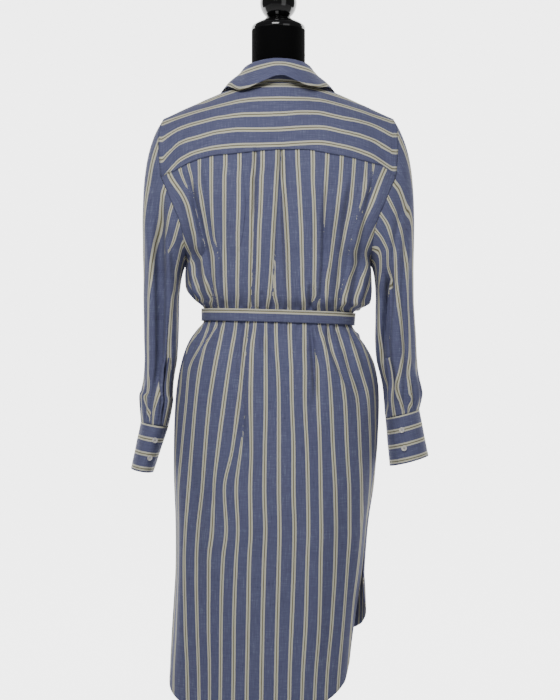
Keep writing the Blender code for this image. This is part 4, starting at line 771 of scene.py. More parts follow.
# ---------------------------------------------------------------- the back panel
# where the double stripes of the back lie: a height, then the places across of neighbouring
# stripes, by the number of the first, in millimetres seen from behind; a number that is
# missing at a height is folded away there
BACK_STRIPES = (
    (1.340, {-9: (219, 186, 170, 146, 124, 98, 72, 44), 0: (29, 1), 3: (-7, -35, -63, -91, -118,
             -142, -166, -176, -207)}),
    (1.305, {-9: (212, 183, 167, 146, 124, 98, 72, 45), 0: (29, 2), 3: (-8, -36, -64, -90, -117,
             -140, -163, -175, -200)}),
    (1.273, {-9: (194, 176, 159, 147, 124, 100, 73, 48), 0: (31, 4), 3: (-9, -38, -64, -88, -115,
             -138, -160), 11: (-188,)}),
    (1.236, {-9: (171,), -6: (141, 124, 100, 73, 49), 0: (32, 6), 3: (-12, -40, -66, -86, -111,
             -135, -156), 11: (-175,)}),
    (1.171, {-9: (155,), -6: (129, 120, 100, 75, 50), 0: (35, 10), 3: (-16, -43, -67), 7: (-103,
             -122), 11: (-151,)}),
    (1.129, {-9: (144,), -6: (121,), -4: (99, 75, 51), 0: (36, 12), 3: (-18, -44, -67), 7: (-98,
             -114), 11: (-143,)}),
    (1.083, {-9: (133,), -6: (119,), -4: (98, 76, 52), 0: (38, 15), 3: (-19, -45, -66), 7: (-91,
             -110), 11: (-130,)}),
    (1.062, {-9: (128,), -6: (116,), -4: (97, 76, 52), 0: (39, 17), 3: (-20, -46, -66), 7: (-90,
             -107), 11: (-124,)}),
    (1.040, {-9: (123,), -6: (113,), -4: (95, 77, 53), 0: (39, 20, 3, -20, -47), 6: (-75, -89,
             -105), 11: (-119,)}),
    (1.026, {-9: (120,), -6: (110,), -4: (94, 77, 54), 0: (40, 21, 4, -20, -47), 6: (-76, -90,
             -105), 11: (-119,)}),
    (1.013, {-7: (138, 126, 113, 100, 78, 57), 0: (42, 23, 5, -21, -48), 6: (-76, -91, -106,
             -122)}),
    (1.001, {-7: (142, 130, 116, 103, 79, 58), 0: (43, 23, 5, -21, -48), 6: (-77, -92, -108, -127,
             -141)}),
    (0.964, {-7: (168, 144, 137, 110, 85, 62), 0: (48, 23, 4, -22, -48), 6: (-87, -98, -119, -139,
             -158)}),
    (0.922, {-7: (177, 165, 146, 118, 92, 67), 0: (50, 23, 1, -24, -49, -73, -93, -113, -129, -152,
             -171)}),
    (0.866, {-7: (184, 170, 153, 127, 100, 73), 0: (51, 23, -1, -25, -49, -74, -97, -123, -146,
             -166)}),
    (0.774, {-7: (191, 179, 161, 135, 112, 84, 70, 50, 25, -1, -28, -53, -77, -101, -127, -151,
             -170)}),
    (0.700, {-6: (185, 167, 140, 119, 100, 78, 52, 26, -1, -28, -55, -78, -105, -131, -154,
             -171)}),
    (0.626, {-6: (188, 172, 149, 122, 96, 75, 51, 24, -2, -30, -56, -79, -106, -132, -154)}),
    (0.570, {-6: (191, 174, 152, 128, 102, 78, 54, 26, -1, -29, -54, -78, -105, -129, -148)}),
    (0.459, {-6: (193, 172, 150, 129, 106, 82, 56, 29, 2, -25, -51, -76, -99, -121, -136)}),
    (0.355, {-6: (194, 168, 147, 127, 107, 83, 58, 31, 4, -21, -45, -69, -90, -112, -128)}),
    (0.290, {-6: (194, 166, 146, 127, 108, 84, 59, 32, 5, -20, -43, -66, -87, -108, -124)}),
)
STRIPE_STEPS = np.linspace(-11.5, 12.5, 481)      # stripe numbers that the map is read at
FACE_LEFT, FACE_RIGHT = -0.375, 1.21              # the pleat's folded edges, as stripe numbers
SEEN_PITCH = 26.5         # how far apart stripes look on the back, in millimetres
SIDE_PITCH = 18.0         # and where the cloth turns away
FOLD_EDGE = 0.15          # half the width that a fold takes on the map, in millimetres
CLEAR_OF_BAR = 0.84       # the next stripe's bar begins past this share of a pitch
FOLD_STEP = 0.16          # a larger step between two places of the map is a fold, in stripes
MAP_ACROSS = (-290.0, 290.1, 1.0)         # from, to and step of the map, in millimetres
MAP_UP = (0.285, 1.345, 0.004)            # and up, in metres
SLACK_FROM, SLACK_MOST = 1.5, 40.0        # cloth lost in a millimetre that makes a fold
VALLEY_WIDTH, BANK_WIDTH = 1.9, 6.5       # softness of a fold's valley and banks, in millimetres
VALLEY_DEPTH, BANK_HEIGHT = 4.6, 2.2      # the most that they move the cloth


def places_across(groups, pleated):
    """Where every stripe number lies at one height, the folded ones gathered at their fold."""
    known = {first + step: place for first, group in groups.items()
             for step, place in enumerate(group)}
    numbers = sorted(known)
    pitch = PITCH * MM
    stops, places = [], []
    for first, second in zip(numbers, numbers[1:]):
        stops.append(first)
        places.append(known[first])
        if second - first < 2:
            continue
        # the pleat's edges are exact; any other fold lies midway
        reach = known[first] - known[second]
        if pleated and (first, second) == (-2, 0):
            cut = known[second] - pitch * FACE_LEFT
            stops += [-2 + (known[first] - cut) / pitch, FACE_LEFT]
        elif pleated and first == 1:
            cut = known[first] - pitch * (FACE_RIGHT - 1.0)
            stops += [FACE_RIGHT, second - (cut - known[second]) / pitch]
        else:
            cut = known[first] - 0.5 * reach
            near = min(CLEAR_OF_BAR, 0.5 * reach / SEEN_PITCH)
            stops += [first + near, second - near]
        places += [cut + FOLD_EDGE, cut - FOLD_EDGE]
    stops.append(numbers[-1])
    places.append(known[numbers[-1]])
    inside = np.interp(STRIPE_STEPS, stops, places)
    left = places[0] + (numbers[0] - STRIPE_STEPS) * SIDE_PITCH
    right = places[-1] - (STRIPE_STEPS - numbers[-1]) * SIDE_PITCH
    inside = np.where(STRIPE_STEPS < numbers[0], left, inside)
    return np.where(STRIPE_STEPS > numbers[-1], right, inside), numbers[0], numbers[-1]


def stripe_map(table, pleated=False):
    """Lattices over a piece, by height and place across: stripe number, fold depth, limits."""
    heights = np.array([row[0] for row in table])[::-1]
    read = [places_across(row[1], pleated) for row in table][::-1]
    places = np.array([row[0] for row in read])
    ends = np.array([row[1:] for row in read], float)
    x, z = np.arange(*MAP_ACROSS), np.arange(*MAP_UP)
    at = np.stack([pchip(heights, column, z) for column in places.T], axis=1)
    first, last = (np.interp(z, heights, end) for end in ends.T)
    number = np.array([np.interp(x, row[::-1], STRIPE_STEPS[::-1]) for row in at])
    # cloth that isn't seen has gone into a fold: a narrow valley with soft banks
    slack = np.clip(-np.gradient(number, axis=1) * PITCH * MM - SLACK_FROM, 0.0, SLACK_MOST)
    limits = np.array([[np.interp(low, STRIPE_STEPS, row), np.interp(high, STRIPE_STEPS, row)]
                       for low, high, row in zip(first, last, at)])
    depth = (np.clip(blur(slack, VALLEY_WIDTH), 0.0, VALLEY_DEPTH)
             - np.clip(blur(slack, BANK_WIDTH) * 0.95, 0.0, BANK_HEIGHT))
    depth = blur(depth.T, 1.5).T
    return x / MM, z, number, -depth / MM, limits / MM


def blur(table, sigma):
    """A table smoothed along its rows."""
    reach = int(3 * sigma) + 1
    kernel = np.exp(-0.5 * (np.arange(-reach, reach + 1) / sigma) ** 2)
    kernel /= kernel.sum()
    padded = np.pad(table, ((0, 0), (reach, reach)), mode="edge")
    return np.array([np.convolve(row, kernel, mode="valid") for row in padded])


def read_table(x_stops, z_stops, table, x, z, jump=None):
    """A lattice read between its stops; a step larger than jump stays sharp."""
    fx = np.clip((x - x_stops[0]) / (x_stops[1] - x_stops[0]), 0, len(x_stops) - 1.001)
    fz = np.clip((z - z_stops[0]) / (z_stops[1] - z_stops[0]), 0, len(z_stops) - 1.001)
    ix, iz = fx.astype(int), fz.astype(int)
    tx, tz = fx - ix, fz - iz

    def between(first, second, share):
        if jump is not None:
            share = np.where(np.abs(second - first) > jump, np.round(share), share)
        return first * (1 - share) + second * share

    return between(between(table[iz, ix], table[iz, ix + 1], tx),
                   between(table[iz + 1, ix], table[iz + 1, ix + 1], tx), tz)


# creases of the back: line, width, depth, lip height, lip side; in millimetres
BACK_CREASES = (
    (((204, 1262), (184, 1210), (166, 1150), (150, 1090), (140, 1040)), 10, 9.5, 0.35, 1),
    (((182, 1296), (164, 1262), (146, 1205), (129, 1130), (117, 1036)), 6, 6.0, 0.6, -1),
    (((150, 1312), (142, 1270), (134, 1215), (120, 1150)), 5, 3.2, 0.6, -1),
    (((-190, 1292), (-170, 1235), (-158, 1170), (-146, 1090), (-132, 1040)), 9, 9.0, 0.40, -1),
    (((-92, 1275), (-85, 1200), (-84, 1110), (-80, 1036)), 5, 5.5, 0.6, -1),
    (((-140, 1300), (-128, 1220), (-118, 1130), (-104, 1040)), 6, 3.8, 0.6, -1),
    (((-3, 1352), (-6, 1290), (-9, 1200), (-14, 1110), (-18, 1030)), 3.2, 6.0, 0.3, 1),
    (((43, 1352), (44, 1300), (45, 1240), (47, 1190)), 3.4, 5.5, 0.3, -1),
    (((-60, 1085), (-60, 1030)), 4, 5.0, 0.5, 1),
    (((30, 1070), (30, 1030)), 4, 5.0, 0.5, 1),
    (((33, 1012), (32, 985), (28, 945)), 4, 5.0, 0.5, 1),
    (((-59, 1009), (-62, 975), (-66, 920), (-69, 855)), 4, 6.5, 0.6, -1),
    (((-88, 1009), (-94, 966), (-112, 924), (-146, 866)), 5, 6.5, 0.7, -1),
    (((74, 1009), (71, 960), (69, 880), (66, 800), (66, 765)), 6, 6.0, 0.6, 1),
    (((142, 974), (156, 960), (170, 936)), 5, 5.0, 0.7, 1),
    (((124, 1003), (138, 980), (152, 962)), 5, 3.5, 0.6, 1),
    (((-128, 1004), (-142, 980), (-160, 945)), 5, 3.5, 0.5, -1),
    (((-106, 1006), (-110, 985), (-118, 955)), 4, 3.0, 0.5, -1),
    (((118, 712), (122, 690), (118, 668)), 6, 3.0, 0.5, 1),
    (((152, 760), (156, 680), (150, 600), (156, 520)), 13, 3.0, 0.5, 1),
    (((116, 640), (112, 580), (118, 500), (112, 420)), 12, 2.4, 0.5, 1),
    (((-132, 700), (-128, 600), (-136, 500), (-128, 400)), 14, 2.4, 0.5, -1),
    (((38, 620), (40, 520), (34, 400)), 12, 1.8, 0.4, 1),
    (((-42, 700), (-38, 560), (-46, 420)), 12, 1.8, 0.4, -1),
    (((55, 430), (56, 408), (52, 392)), 5, 2.0, 0.4, 1),
    (((174, 400), (171, 385), (165, 372)), 6, 2.2, 0.4, 1),
)
BACK_BASE = [*range(0, 13), 20, *range(28, 41)]     # columns of the wall outside its folds
BACK_PUSH = np.array((0.30, 1.0, 0.6))      # folds move the cloth mostly front to back
BACK_PUCKERS = 0.0020     # depth of the small gathers beside the belt
BELT_REACH = 0.016        # cloth this near to the belt's middle line lies under it
BACK_UNDER_BELT, FRONT_UNDER_BELT = 0.0008, 0.0006      # and stands out no more than this
PLEAT_RISE = 0.0018       # how far the pleat's face stands out
PLEAT_LIPS = ((FACE_LEFT - 0.13, 0.0042), (FACE_RIGHT + 0.13, 0.0036))     # stripe number, depth


def from_belt(points):
    """How far points lie above or below the belt's middle line."""
    return np.abs(points[..., 2] - WAIST_Z - BELT_SLOPE * points[..., 0])


def puckers(points, depth):
    """Small uneven gathers just above and below the belt."""
    x, _ = seen(points)
    belt = from_belt(points)
    near = hill(belt, 0.009, 0.016, 0.020, 0.050)
    wave = np.sin(x * 370.0 + 1.7 * np.sin(x * 61.0))
    return depth * near * (wave + 0.6 * np.sin(x * 590.0 + 2.0 + np.sin(x * 47.0)))


BLEND = 7.0               # columns over which the two ways of laying stripes run together


def lay_stripes(grid, normals, lattice, way, ease=(5.0, 3.0)):
    """Stripe numbers over a grid: by the map where it faces back, by length beyond that."""
    x_stops, z_stops, number, _, limits = lattice
    x, z = seen(grid)
    stripes = read_table(x_stops, z_stops, number, x, z, FOLD_STEP)
    mapped = ((x < np.interp(z, z_stops, limits[:, 0])) & (x > np.interp(z, z_stops, limits[:, 1]))
              & (normals[..., 1] > FACING))
    run = np.cumsum(np.pad(np.linalg.norm(np.diff(grid[..., :2], axis=1), axis=2),
                           [(0, 0), (1, 0)]), axis=1) / PITCH * way
    ends = []
    for row in range(len(grid)):
        inside = np.where(mapped[row])[0]
        if not len(inside):
            inside = np.array([int(np.argmax(normals[row, :, 1]))])
        ends.append((inside[0], inside[-1]))
    ends = blur(np.array(ends, float).T, ease[0])
    columns = np.arange(grid.shape[1])
    offsets = [[np.interp(end, columns, line) for end, line in zip(side, stripes - run)]
               for side in ends]
    offsets = blur(np.array(offsets), ease[1])[..., None]
    ends, columns = ends[..., None], columns[None, :]
    inward = smooth(columns, ends[0], ends[0] + BLEND)
    stripes = (offsets[0] + run) * (1.0 - inward) + stripes * inward
    inward = smooth(-columns, -ends[1], -ends[1] + BLEND)
    return (offsets[1] + run) * (1.0 - inward) + stripes * inward


def back_sheet():
    """The back panel's middle surface, normals and map."""
    rows, cols = GRIDS["back"]
    wall = wall_grid("back")[:, BACK_BASE]
    grid = even_columns(finer(wall, rows, wall.shape[1] * 4), cols)
    normals = grid_normals(grid, inside=INSIDE)
    lattice = stripe_map(BACK_STRIPES, pleated=True)
    stripes = lay_stripes(grid, normals, lattice, -1)
    x, z = seen(grid)
    out = read_table(lattice[0], lattice[1], lattice[3], x, z) + creases(grid, BACK_CREASES)
    out += puckers(grid, BACK_PUCKERS) + wrinkles(grid, "back")
    # the raised face of the pleat and the cloth pressed under its edges
    face = hill(stripes, FACE_LEFT - 0.05, FACE_LEFT + 0.02, FACE_RIGHT - 0.02, FACE_RIGHT + 0.05)
    out += PLEAT_RISE * face * smooth(grid[..., 2], 0.78, 1.02)
    high = smooth(grid[..., 2], 1.00, 1.06)
    for number, depth in PLEAT_LIPS:
        out -= depth * high * np.exp(-((stripes - number) / 0.10) ** 2)
    edge = np.minimum(x - x[:, :1], x[:, -1:] - x)
    calm = smooth(edge, 0.0, 0.020) * smooth(runs(grid, 0), 0.0, 0.012)
    belt = from_belt(grid)
    held = 0.25 + 0.75 * smooth(belt, 0.010, 0.018)
    out = out * calm * held
    out = np.where(belt < BELT_REACH, np.minimum(out, BACK_UNDER_BELT), out)
    grid = pushed(grid, normals * BACK_PUSH, out)
    uv = np.stack([-stripes * PITCH, grid[..., 2]], axis=-1)
    return grid, grid_normals(grid, inside=INSIDE), uv


# ---------------------------------------------------------------- the other cloth pieces
YOKE_STRIPES = (     # place across, then the height of stripes 1 to 5, seen from behind
    (0.214, (1.2735, 1.3101, 1.3488, 1.3776, 1.4000)),
    (0.182, (1.3105, 1.3416, 1.3682, 1.3887, 1.4115)),
    (0.145, (1.3268, 1.3532, 1.3797, 1.4013, 1.4146)),
    (0.107, (1.3343, 1.3626, 1.3891, 1.4107, 1.4286)),
    (0.070, (1.3371, 1.3663, 1.3932, 1.4193, 1.4405)),
    (0.032, (1.3380, 1.3663, 1.3946, 1.4230, 1.4477)),
    (-0.006, (1.3390, 1.3673, 1.3956, 1.4239, 1.4485)),
    (-0.043, (1.3414, 1.3697, 1.3982, 1.4230, 1.4460)),
    (-0.071, (1.3425, 1.3708, 1.3974, 1.4217, 1.4403)),
    (-0.119, (1.3354, 1.3626, 1.3878, 1.4109, 1.4250)),
    (-0.167, (1.3203, 1.3501, 1.3773, 1.3954, 1.4090)),
    (-0.210, (1.2938, 1.3249, 1.3564, 1.3804, 1.4000)),
)
RIDGE = ((0.0, 0.022), (0.070, 0.022), (0.120, 0.004), (0.210, -0.010))     # a shoulder's top
RIDGE_NEAR = 0.008        # points this near to it tell how high it is
RIDGE_SPAN = (0.074, 0.210)     # from neck to sleeve


def yoke_numbers(x, z):
    """Which stripe of the yoke is seen at a place from behind."""
    across = np.array([row[0] for row in YOKE_STRIPES])[::-1]
    heights = np.array([row[1] for row in YOKE_STRIPES])[::-1]
    lines = np.stack([pchip(across, heights[:, column], x) for column in range(5)], axis=-1)
    number = 1.0 + (z - lines[..., 0]) / (lines[..., 1] - lines[..., 0])
    for low in range(1, 4):
        share = (z - lines[..., low]) / (lines[..., low + 1] - lines[..., low])
        number = np.where(share > 0.0, low + 1 + share, number)
    return number


def yoke_sheet():
    """The yoke's middle surface, normals and map."""
    grid = finer(wall_grid("yoke"), *GRIDS["yoke"])
    normals = grid_normals(grid, inside=INSIDE)
    upward = np.sum(normals * np.array([0.0, 0.3, 1.0]), axis=2, keepdims=True)
    normals *= np.where(upward < 0, -1, 1)
    out = wrinkles(grid, "yoke") + creases(grid, YOKE_CREASES)
    share = np.linspace(0.0, 1.0, len(grid))[:, None]
    grid[..., 2] -= neck_drop(grid) * (1.0 - smooth(share, 0.0, 0.55))
    grid = lowered_edge(grid)
    calm = smooth(runs(grid, 0), 0.0, 0.010) * (1.0 - smooth(share, 0.90, 1.0))
    x, z = seen(grid)
    ridge_y = np.interp(np.abs(grid[..., 0]), *np.array(RIDGE).T)
    near = np.abs(grid[..., 1] - ridge_y) < RIDGE_NEAR
    ridge = np.polyfit(np.abs(grid[..., 0][near]), grid[..., 2][near], 3)
    top = np.polyval(ridge, np.clip(np.abs(grid[..., 0]), *RIDGE_SPAN))
    over = np.stack([grid[..., 0], ridge_y, top], axis=-1)
    beyond = np.hypot(grid[..., 1] - ridge_y, grid[..., 2] - top) / PITCH
    front = smooth(ridge_y - grid[..., 1], -0.005, 0.005)
    stripes = yoke_numbers(x, z) * (1 - front) + (yoke_numbers(*seen(over)) + beyond) * front
    grid = pushed(grid, normals, out * calm)
    return grid, normals, np.stack([stripes * PITCH, grid[..., 0]], axis=-1)


YOKE_EDGE = (        # place across, then how far the seam lies below the solid's
    (-0.215, 0.0), (-0.190, 0.002), (-0.173, 0.0093), (-0.139, 0.0140), (-0.103, 0.0147),
    (-0.047, 0.0095), (0.000, 0.0105), (0.046, 0.0133), (0.085, 0.0156), (0.114, 0.0143),
    (0.142, 0.0135), (0.169, 0.0127), (0.190, 0.0115), (0.203, 0.0060), (0.2145, 0.0),
)
YOKE_ABOVE = 0.0024       # how far the yoke's edge stands over the back panel
TOO_FAR = 4e-5            # squared distance at which no back panel lies beneath


def lowered_edge(grid):
    """The yoke's lower edge drawn down over the top of the back panel."""
    x, _ = seen(grid)
    share = np.linspace(0.0, 1.0, len(grid))[:, None]
    weight = smooth(share, 0.55, 1.0) * smooth(grid[..., 1], 0.050, 0.066)
    out = grid.copy()
    drop = pchip(*np.array(YOKE_EDGE).T, x) * weight
    out[..., 2] -= drop
    back = SEWN["back_panel"][0][:60].reshape(-1, 3)
    rows, cols = np.where(weight > 0.02)
    for row, col in zip(rows, cols):
        point = out[row, col]
        gap = (back[:, 0] - point[0]) ** 2 + (back[:, 2] - point[2]) ** 2 + 1e-7
        near = np.argpartition(gap, 6)[:6]
        if gap[near].min() > TOO_FAR:
            continue
        pull = 1.0 / gap[near]
        surface = float(np.sum(back[near, 1] * pull) / np.sum(pull))
        out[row, col, 1] = max(point[1], surface + YOKE_ABOVE * min(1.0, drop[row, col] / 0.003))
    return out


YOKE_CREASES = (
    (((205, 1300), (186, 1322), (160, 1338)), 6, 2.4, 0.6, 1),
    (((208, 1330), (190, 1345), (168, 1352)), 6, 1.6, 0.6, 1),
    (((-206, 1306), (-190, 1330), (-166, 1345)), 6, 2.2, 0.6, -1),
    (((-200, 1345), (-180, 1358), (-150, 1362)), 7, 1.4, 0.5, -1),
    (((120, 1400), (80, 1385), (30, 1380)), 9, 0.9, 0.5, 1),
    (((-110, 1396), (-70, 1380), (-20, 1378)), 9, 0.9, 0.5, -1),
)

# the collar from behind: place across, then how far its roll and its edge hang below the solid's
COLLAR_DROP = ((-0.115, 0.0060, 0.0000), (-0.100, 0.0090, 0.0020), (-0.072, 0.0150, 0.0140),
               (-0.0435, 0.0160, 0.0185), (-0.0246, 0.0148, 0.0165), (-0.0115, 0.0146, 0.0142),
               (0.0037, 0.0143, 0.0155), (0.0244, 0.0152, 0.0196), (0.050, 0.0165, 0.0215),
               (0.070, 0.0150, 0.0200), (0.098, 0.0090, 0.0020), (0.115, 0.0060, 0.0000))
COLLAR_PULL = (0.09, 0.13)      # shares that its left and right points are drawn in
NECK_DROP, NECK_REACH = 0.0055, 0.075       # how far the neck seam drops behind, and how wide


def settled_collar(grid, roll):
    """The leaf let down behind, its roll and its edge by their own drops."""
    x, z = seen(grid)
    high = np.take_along_axis(z, roll[None, :], axis=0)
    share = np.clip((z - z[-1:]) / np.maximum(high - z[-1:], 0.001), 0.0, 1.0)
    share = np.where(np.arange(len(grid))[:, None] < roll[None, :], 1.0, share)
    top_drop = pchip(*np.array(COLLAR_DROP).T[[0, 1]], x)
    edge_drop = pchip(*np.array(COLLAR_DROP).T[[0, 2]], x)
    behind = smooth(grid[..., 1], -0.060, 0.000)
    aside = smooth(np.abs(grid[..., 0]), 0.035, 0.080)
    out = grid.copy()
    out[..., 2] -= (edge_drop + (top_drop - edge_drop) * share) * behind
    pull = np.where(grid[..., 0] > 0.0, *COLLAR_PULL)
    past_front = smooth(grid[..., 1], -0.090, -0.030)
    out[..., 0] *= 1.0 - pull * aside * (0.25 + 0.75 * share) * past_front
    return out


def neck_drop(grid):
    """How far the neck seam lies lower behind than on the solids."""
    behind = smooth(grid[..., 1], 0.0, 0.055)
    return NECK_DROP * behind * np.exp(-(grid[..., 0] / NECK_REACH) ** 4)


# where the double stripes of a sleeve lie, as on the back
SLEEVE_STRIPES = {
    "left": (
        (1.3286, {0: (197, 179, 160, 142)}),
        (1.2361, {0: (214, 194, 171, 145)}),
        (1.2121, {0: (217, 201, 179, 156)}),
        (1.1825, {0: (223, 207, 188, 164)}),
        (1.1566, {0: (228, 214, 195, 176)}),
        (1.1288, {0: (235,), 3: (183,)}),
        (1.1029, {0: (237,), 3: (188,)}),
        (1.0511, {0: (240,), 3: (197,)}),
        (0.9771, {0: (241,), 3: (201,)}),
        (0.9309, {0: (241,), 3: (202,)}),
        (0.8976, {0: (241,), 2: (221, 200)}),
        (0.8624, {0: (240,), 2: (227, 203)}),
        (0.8421, {0: (240,), 2: (233, 205)}),
        (0.8100, {0: (240,), 2: (235, 207)}),
    ),
    "right": (
        (1.3286, {0: (-112, -135, -158, -181, -203)}),
        (1.2787, {0: (-118, -140, -162, -186, -209)}),
        (1.2472, {0: (-123, -147, -173, -200, -225)}),
        (1.2195, {0: (-132, -158, -183, -214, -232)}),
        (1.1899, {0: (-145, -173, -202, -227, -237)}),
        (1.1621, {0: (-156, -194, -210, -231)}),
        (1.1399, {0: (-188, -202, -216, -234)}),
        (1.1158, {0: (-191, -202, -217, -238)}),
        (1.0844, {0: (-186, -206, -218, -240)}),
        (1.0511, {0: (-184,), 2: (-222, -241)}),
        (0.9956, {0: (-182,), 2: (-229, -242)}),
        (0.9586, {0: (-181,), 2: (-232, -243)}),
        (0.9216, {0: (-184,), 2: (-226, -242)}),
        (0.8920, {0: (-188,), 2: (-220, -242)}),
        (0.8439, {0: (-192,), 2: (-232, -244)}),
        (0.8200, {0: (-194,), 2: (-234, -245)}),
    ),
}
SLEEVE_CREASES = {
    "left": (
        (((214, 1262), (219, 1200), (221, 1130), (217, 1060), (216, 950), (213, 860),
          (209, 816)), 10, 25.0, 0.14, 1),
        (((206, 1190), (197, 1140), (190, 1085)), 6, 4.5, 0.5, -1),
        (((226, 930), (224, 890), (228, 850), (226, 826)), 3, 2.4, 0.6, 1),
        (((204, 905), (202, 870), (204, 830)), 4, 2.6, 0.5, -1),
        (((232, 1290), (240, 1230), (238, 1170)), 9, 2.2, 0.5, -1)),
    "right": (
        (((-214, 1140), (-207, 1090), (-202, 1052), (-196, 995), (-189, 950), (-197, 884),
          (-202, 826)), 9, 21.0, 0.14, -1),
        (((-228, 1230), (-218, 1170), (-209, 1110)), 6, 4.2, 0.5, 1),
        (((-230, 1010), (-238, 940), (-234, 880), (-236, 838)), 6, 3.4, 0.5, -1),
        (((-222, 900), (-226, 870), (-222, 842)), 3, 2.2, 0.6, 1),
        (((-240, 1260), (-246, 1200), (-244, 1140)), 8, 2.0, 0.5, 1),
        (((-248, 900), (-250, 870), (-250, 846)), 3, 1.8, 0.6, -1))}
UNDERARM = 12        # the column of a sleeve's wall under the arm
SLEEVE_PUSH = np.array((0.40, 1.0, 0.8))
CUFF_GATHERS = 0.0011     # depth of the gathers above the cuff
LONG_FOLDS = 0.0020       # and of the easy folds along the front of a sleeve
FRONT_PUCKERS = 0.0016
SKIRT_WAVES, BODICE_WAVES = 0.0026, 0.0016


def sleeve_sheet(side, sign):
    """A sleeve's middle surface, normals and map."""
    wall = np.roll(wall_grid("sleeve_" + side), -UNDERARM, axis=1)
    grid = finer(wall, *GRIDS["sleeve"], closed=True)
    normals = grid_normals(grid, closed=True)
    lattice = stripe_map(SLEEVE_STRIPES[side])
    wide = np.concatenate([grid, grid[:, :1]], axis=1)
    wide_normals = np.concatenate([normals, normals[:, :1]], axis=1)
    stripes = lay_stripes(wide, wide_normals, lattice, sign, (8.0, 7.0))
    x, z = seen(grid)
    behind = smooth(normals[..., 1], 0.05, 0.40)
    out = 0.8 * read_table(lattice[0], lattice[1], lattice[3], x, z)
    out += creases(grid, SLEEVE_CREASES[side])
    out *= behind
    # gathers into the cuff, and easy lengthwise folds at the front
    down = runs(grid, 0)
    share = down / down[-1:]
    low = smooth(share, 0.84, 0.99)
    turn = np.arange(grid.shape[1]) / grid.shape[1] * 2.0 * math.pi
    gathers = np.sin(turn * 17 + 1.3 * np.sin(turn * 3)) + 0.5 * np.sin(turn * 29 + 2.0)
    out += CUFF_GATHERS * low * gathers[None, :]
    ahead = smooth(-normals[..., 1], 0.10, 0.50)
    long_folds = np.sin(turn[None, :] * 5 + grid[..., 2] * 9.0) * smooth(share, 0.15, 0.50)
    out += LONG_FOLDS * ahead * long_folds + wrinkles(grid, "sleeve_" + side)
    calm = smooth(down, 0.0, 0.016) * (1.0 - smooth(share, 0.965, 1.0) * 0.8)
    grid = pushed(grid, normals * SLEEVE_PUSH, out * calm)
    uv = np.stack([stripes * PITCH, wide[..., 2]], axis=-1)
    return grid, grid_normals(grid, closed=True), uv


def strip_sheet(kind, wall, along_rows=True, shift=0.0):
    """A smaller piece whose stripes follow its rows, or run across them."""
    grid = finer(wall, *GRIDS[kind])
    normals = grid_normals(grid)
    down, across = runs(grid, 0), runs(grid, 1)
    calm = smooth(down, 0.0, 0.006) * smooth(down[-1:] - down, 0.0, 0.006)
    grid = pushed(grid, normals, wrinkles(grid, kind) * calm)
    pair = (down, across) if along_rows else (across, down)
    start = STRIPE_STARTS[kind] + shift
    return grid, normals, np.stack([pair[0] + start, pair[1]], axis=-1)


def front_sheet(side, sign):
    """A front's middle surface, normals and map."""
    grid = finer(wall_grid("front_" + side), *GRIDS["front"])
    normals = grid_normals(grid, inside=INSIDE)
    down, across = runs(grid, 0), runs(grid, 1)
    out = wrinkles(grid, "front_" + side) + puckers(grid, FRONT_PUCKERS)
    off_band = smooth(across, 0.03, 0.07)
    low = 1.0 - smooth(grid[..., 2], 0.80, 1.00)
    wave = np.sin(across * 62.0 + 0.8 * np.sin(grid[..., 2] * 5.0) + sign) * off_band
    out += SKIRT_WAVES * low * wave
    high = hill(grid[..., 2], 1.06, 1.14, 1.22, 1.30)
    out += BODICE_WAVES * high * np.sin(across * 70.0 + grid[..., 2] * 16.0) * off_band
    edge = smooth(across, 0.004, 0.030) * smooth(across[:, -1:] - across, 0.0, 0.020)
    calm = edge * smooth(down, 0.0, 0.012)
    belt = from_belt(grid)
    out = np.where(belt < BELT_REACH, np.minimum(out, FRONT_UNDER_BELT), out) * calm
    grid = pushed(grid, normals, out)
    uv = np.stack([across + STRIPE_STARTS["front"], grid[..., 2]], axis=-1)
    return grid, normals, uv


BAND_WIDTH, BAND_OVERHANG = 0.0282, 0.0016
BAND_ABOVE = 0.0019       # from the front's middle surface to the band's


def band_sheet():
    """The button band, laid on the left front's edge."""
    grid, normals, _ = SEWN["front_left_panel"]
    across = runs(grid, 1)
    stops = np.concatenate((np.linspace(-BAND_OVERHANG, 0.0, 3),
                            np.linspace(0.0, BAND_WIDTH, 13)[1:]))
    points, ways = [], []
    for row in range(len(grid)):
        first = (grid[row, 0] - grid[row, 1]) / np.linalg.norm(grid[row, 0] - grid[row, 1])
        line = line_at(stops, across[row], grid[row])
        line[:2] += first * -stops[:2, None]
        points.append(line)
        ways.append(line_at(stops, across[row], normals[row]))
    points, ways = np.array(points), np.array(ways)
    ways /= np.linalg.norm(ways, axis=2, keepdims=True)
    points = points + ways * BAND_ABOVE
    across = np.broadcast_to(stops + STRIPE_STARTS["band"], points.shape[:2])
    uv = np.stack([across, points[..., 2]], axis=-1)
    return points, ways, uv


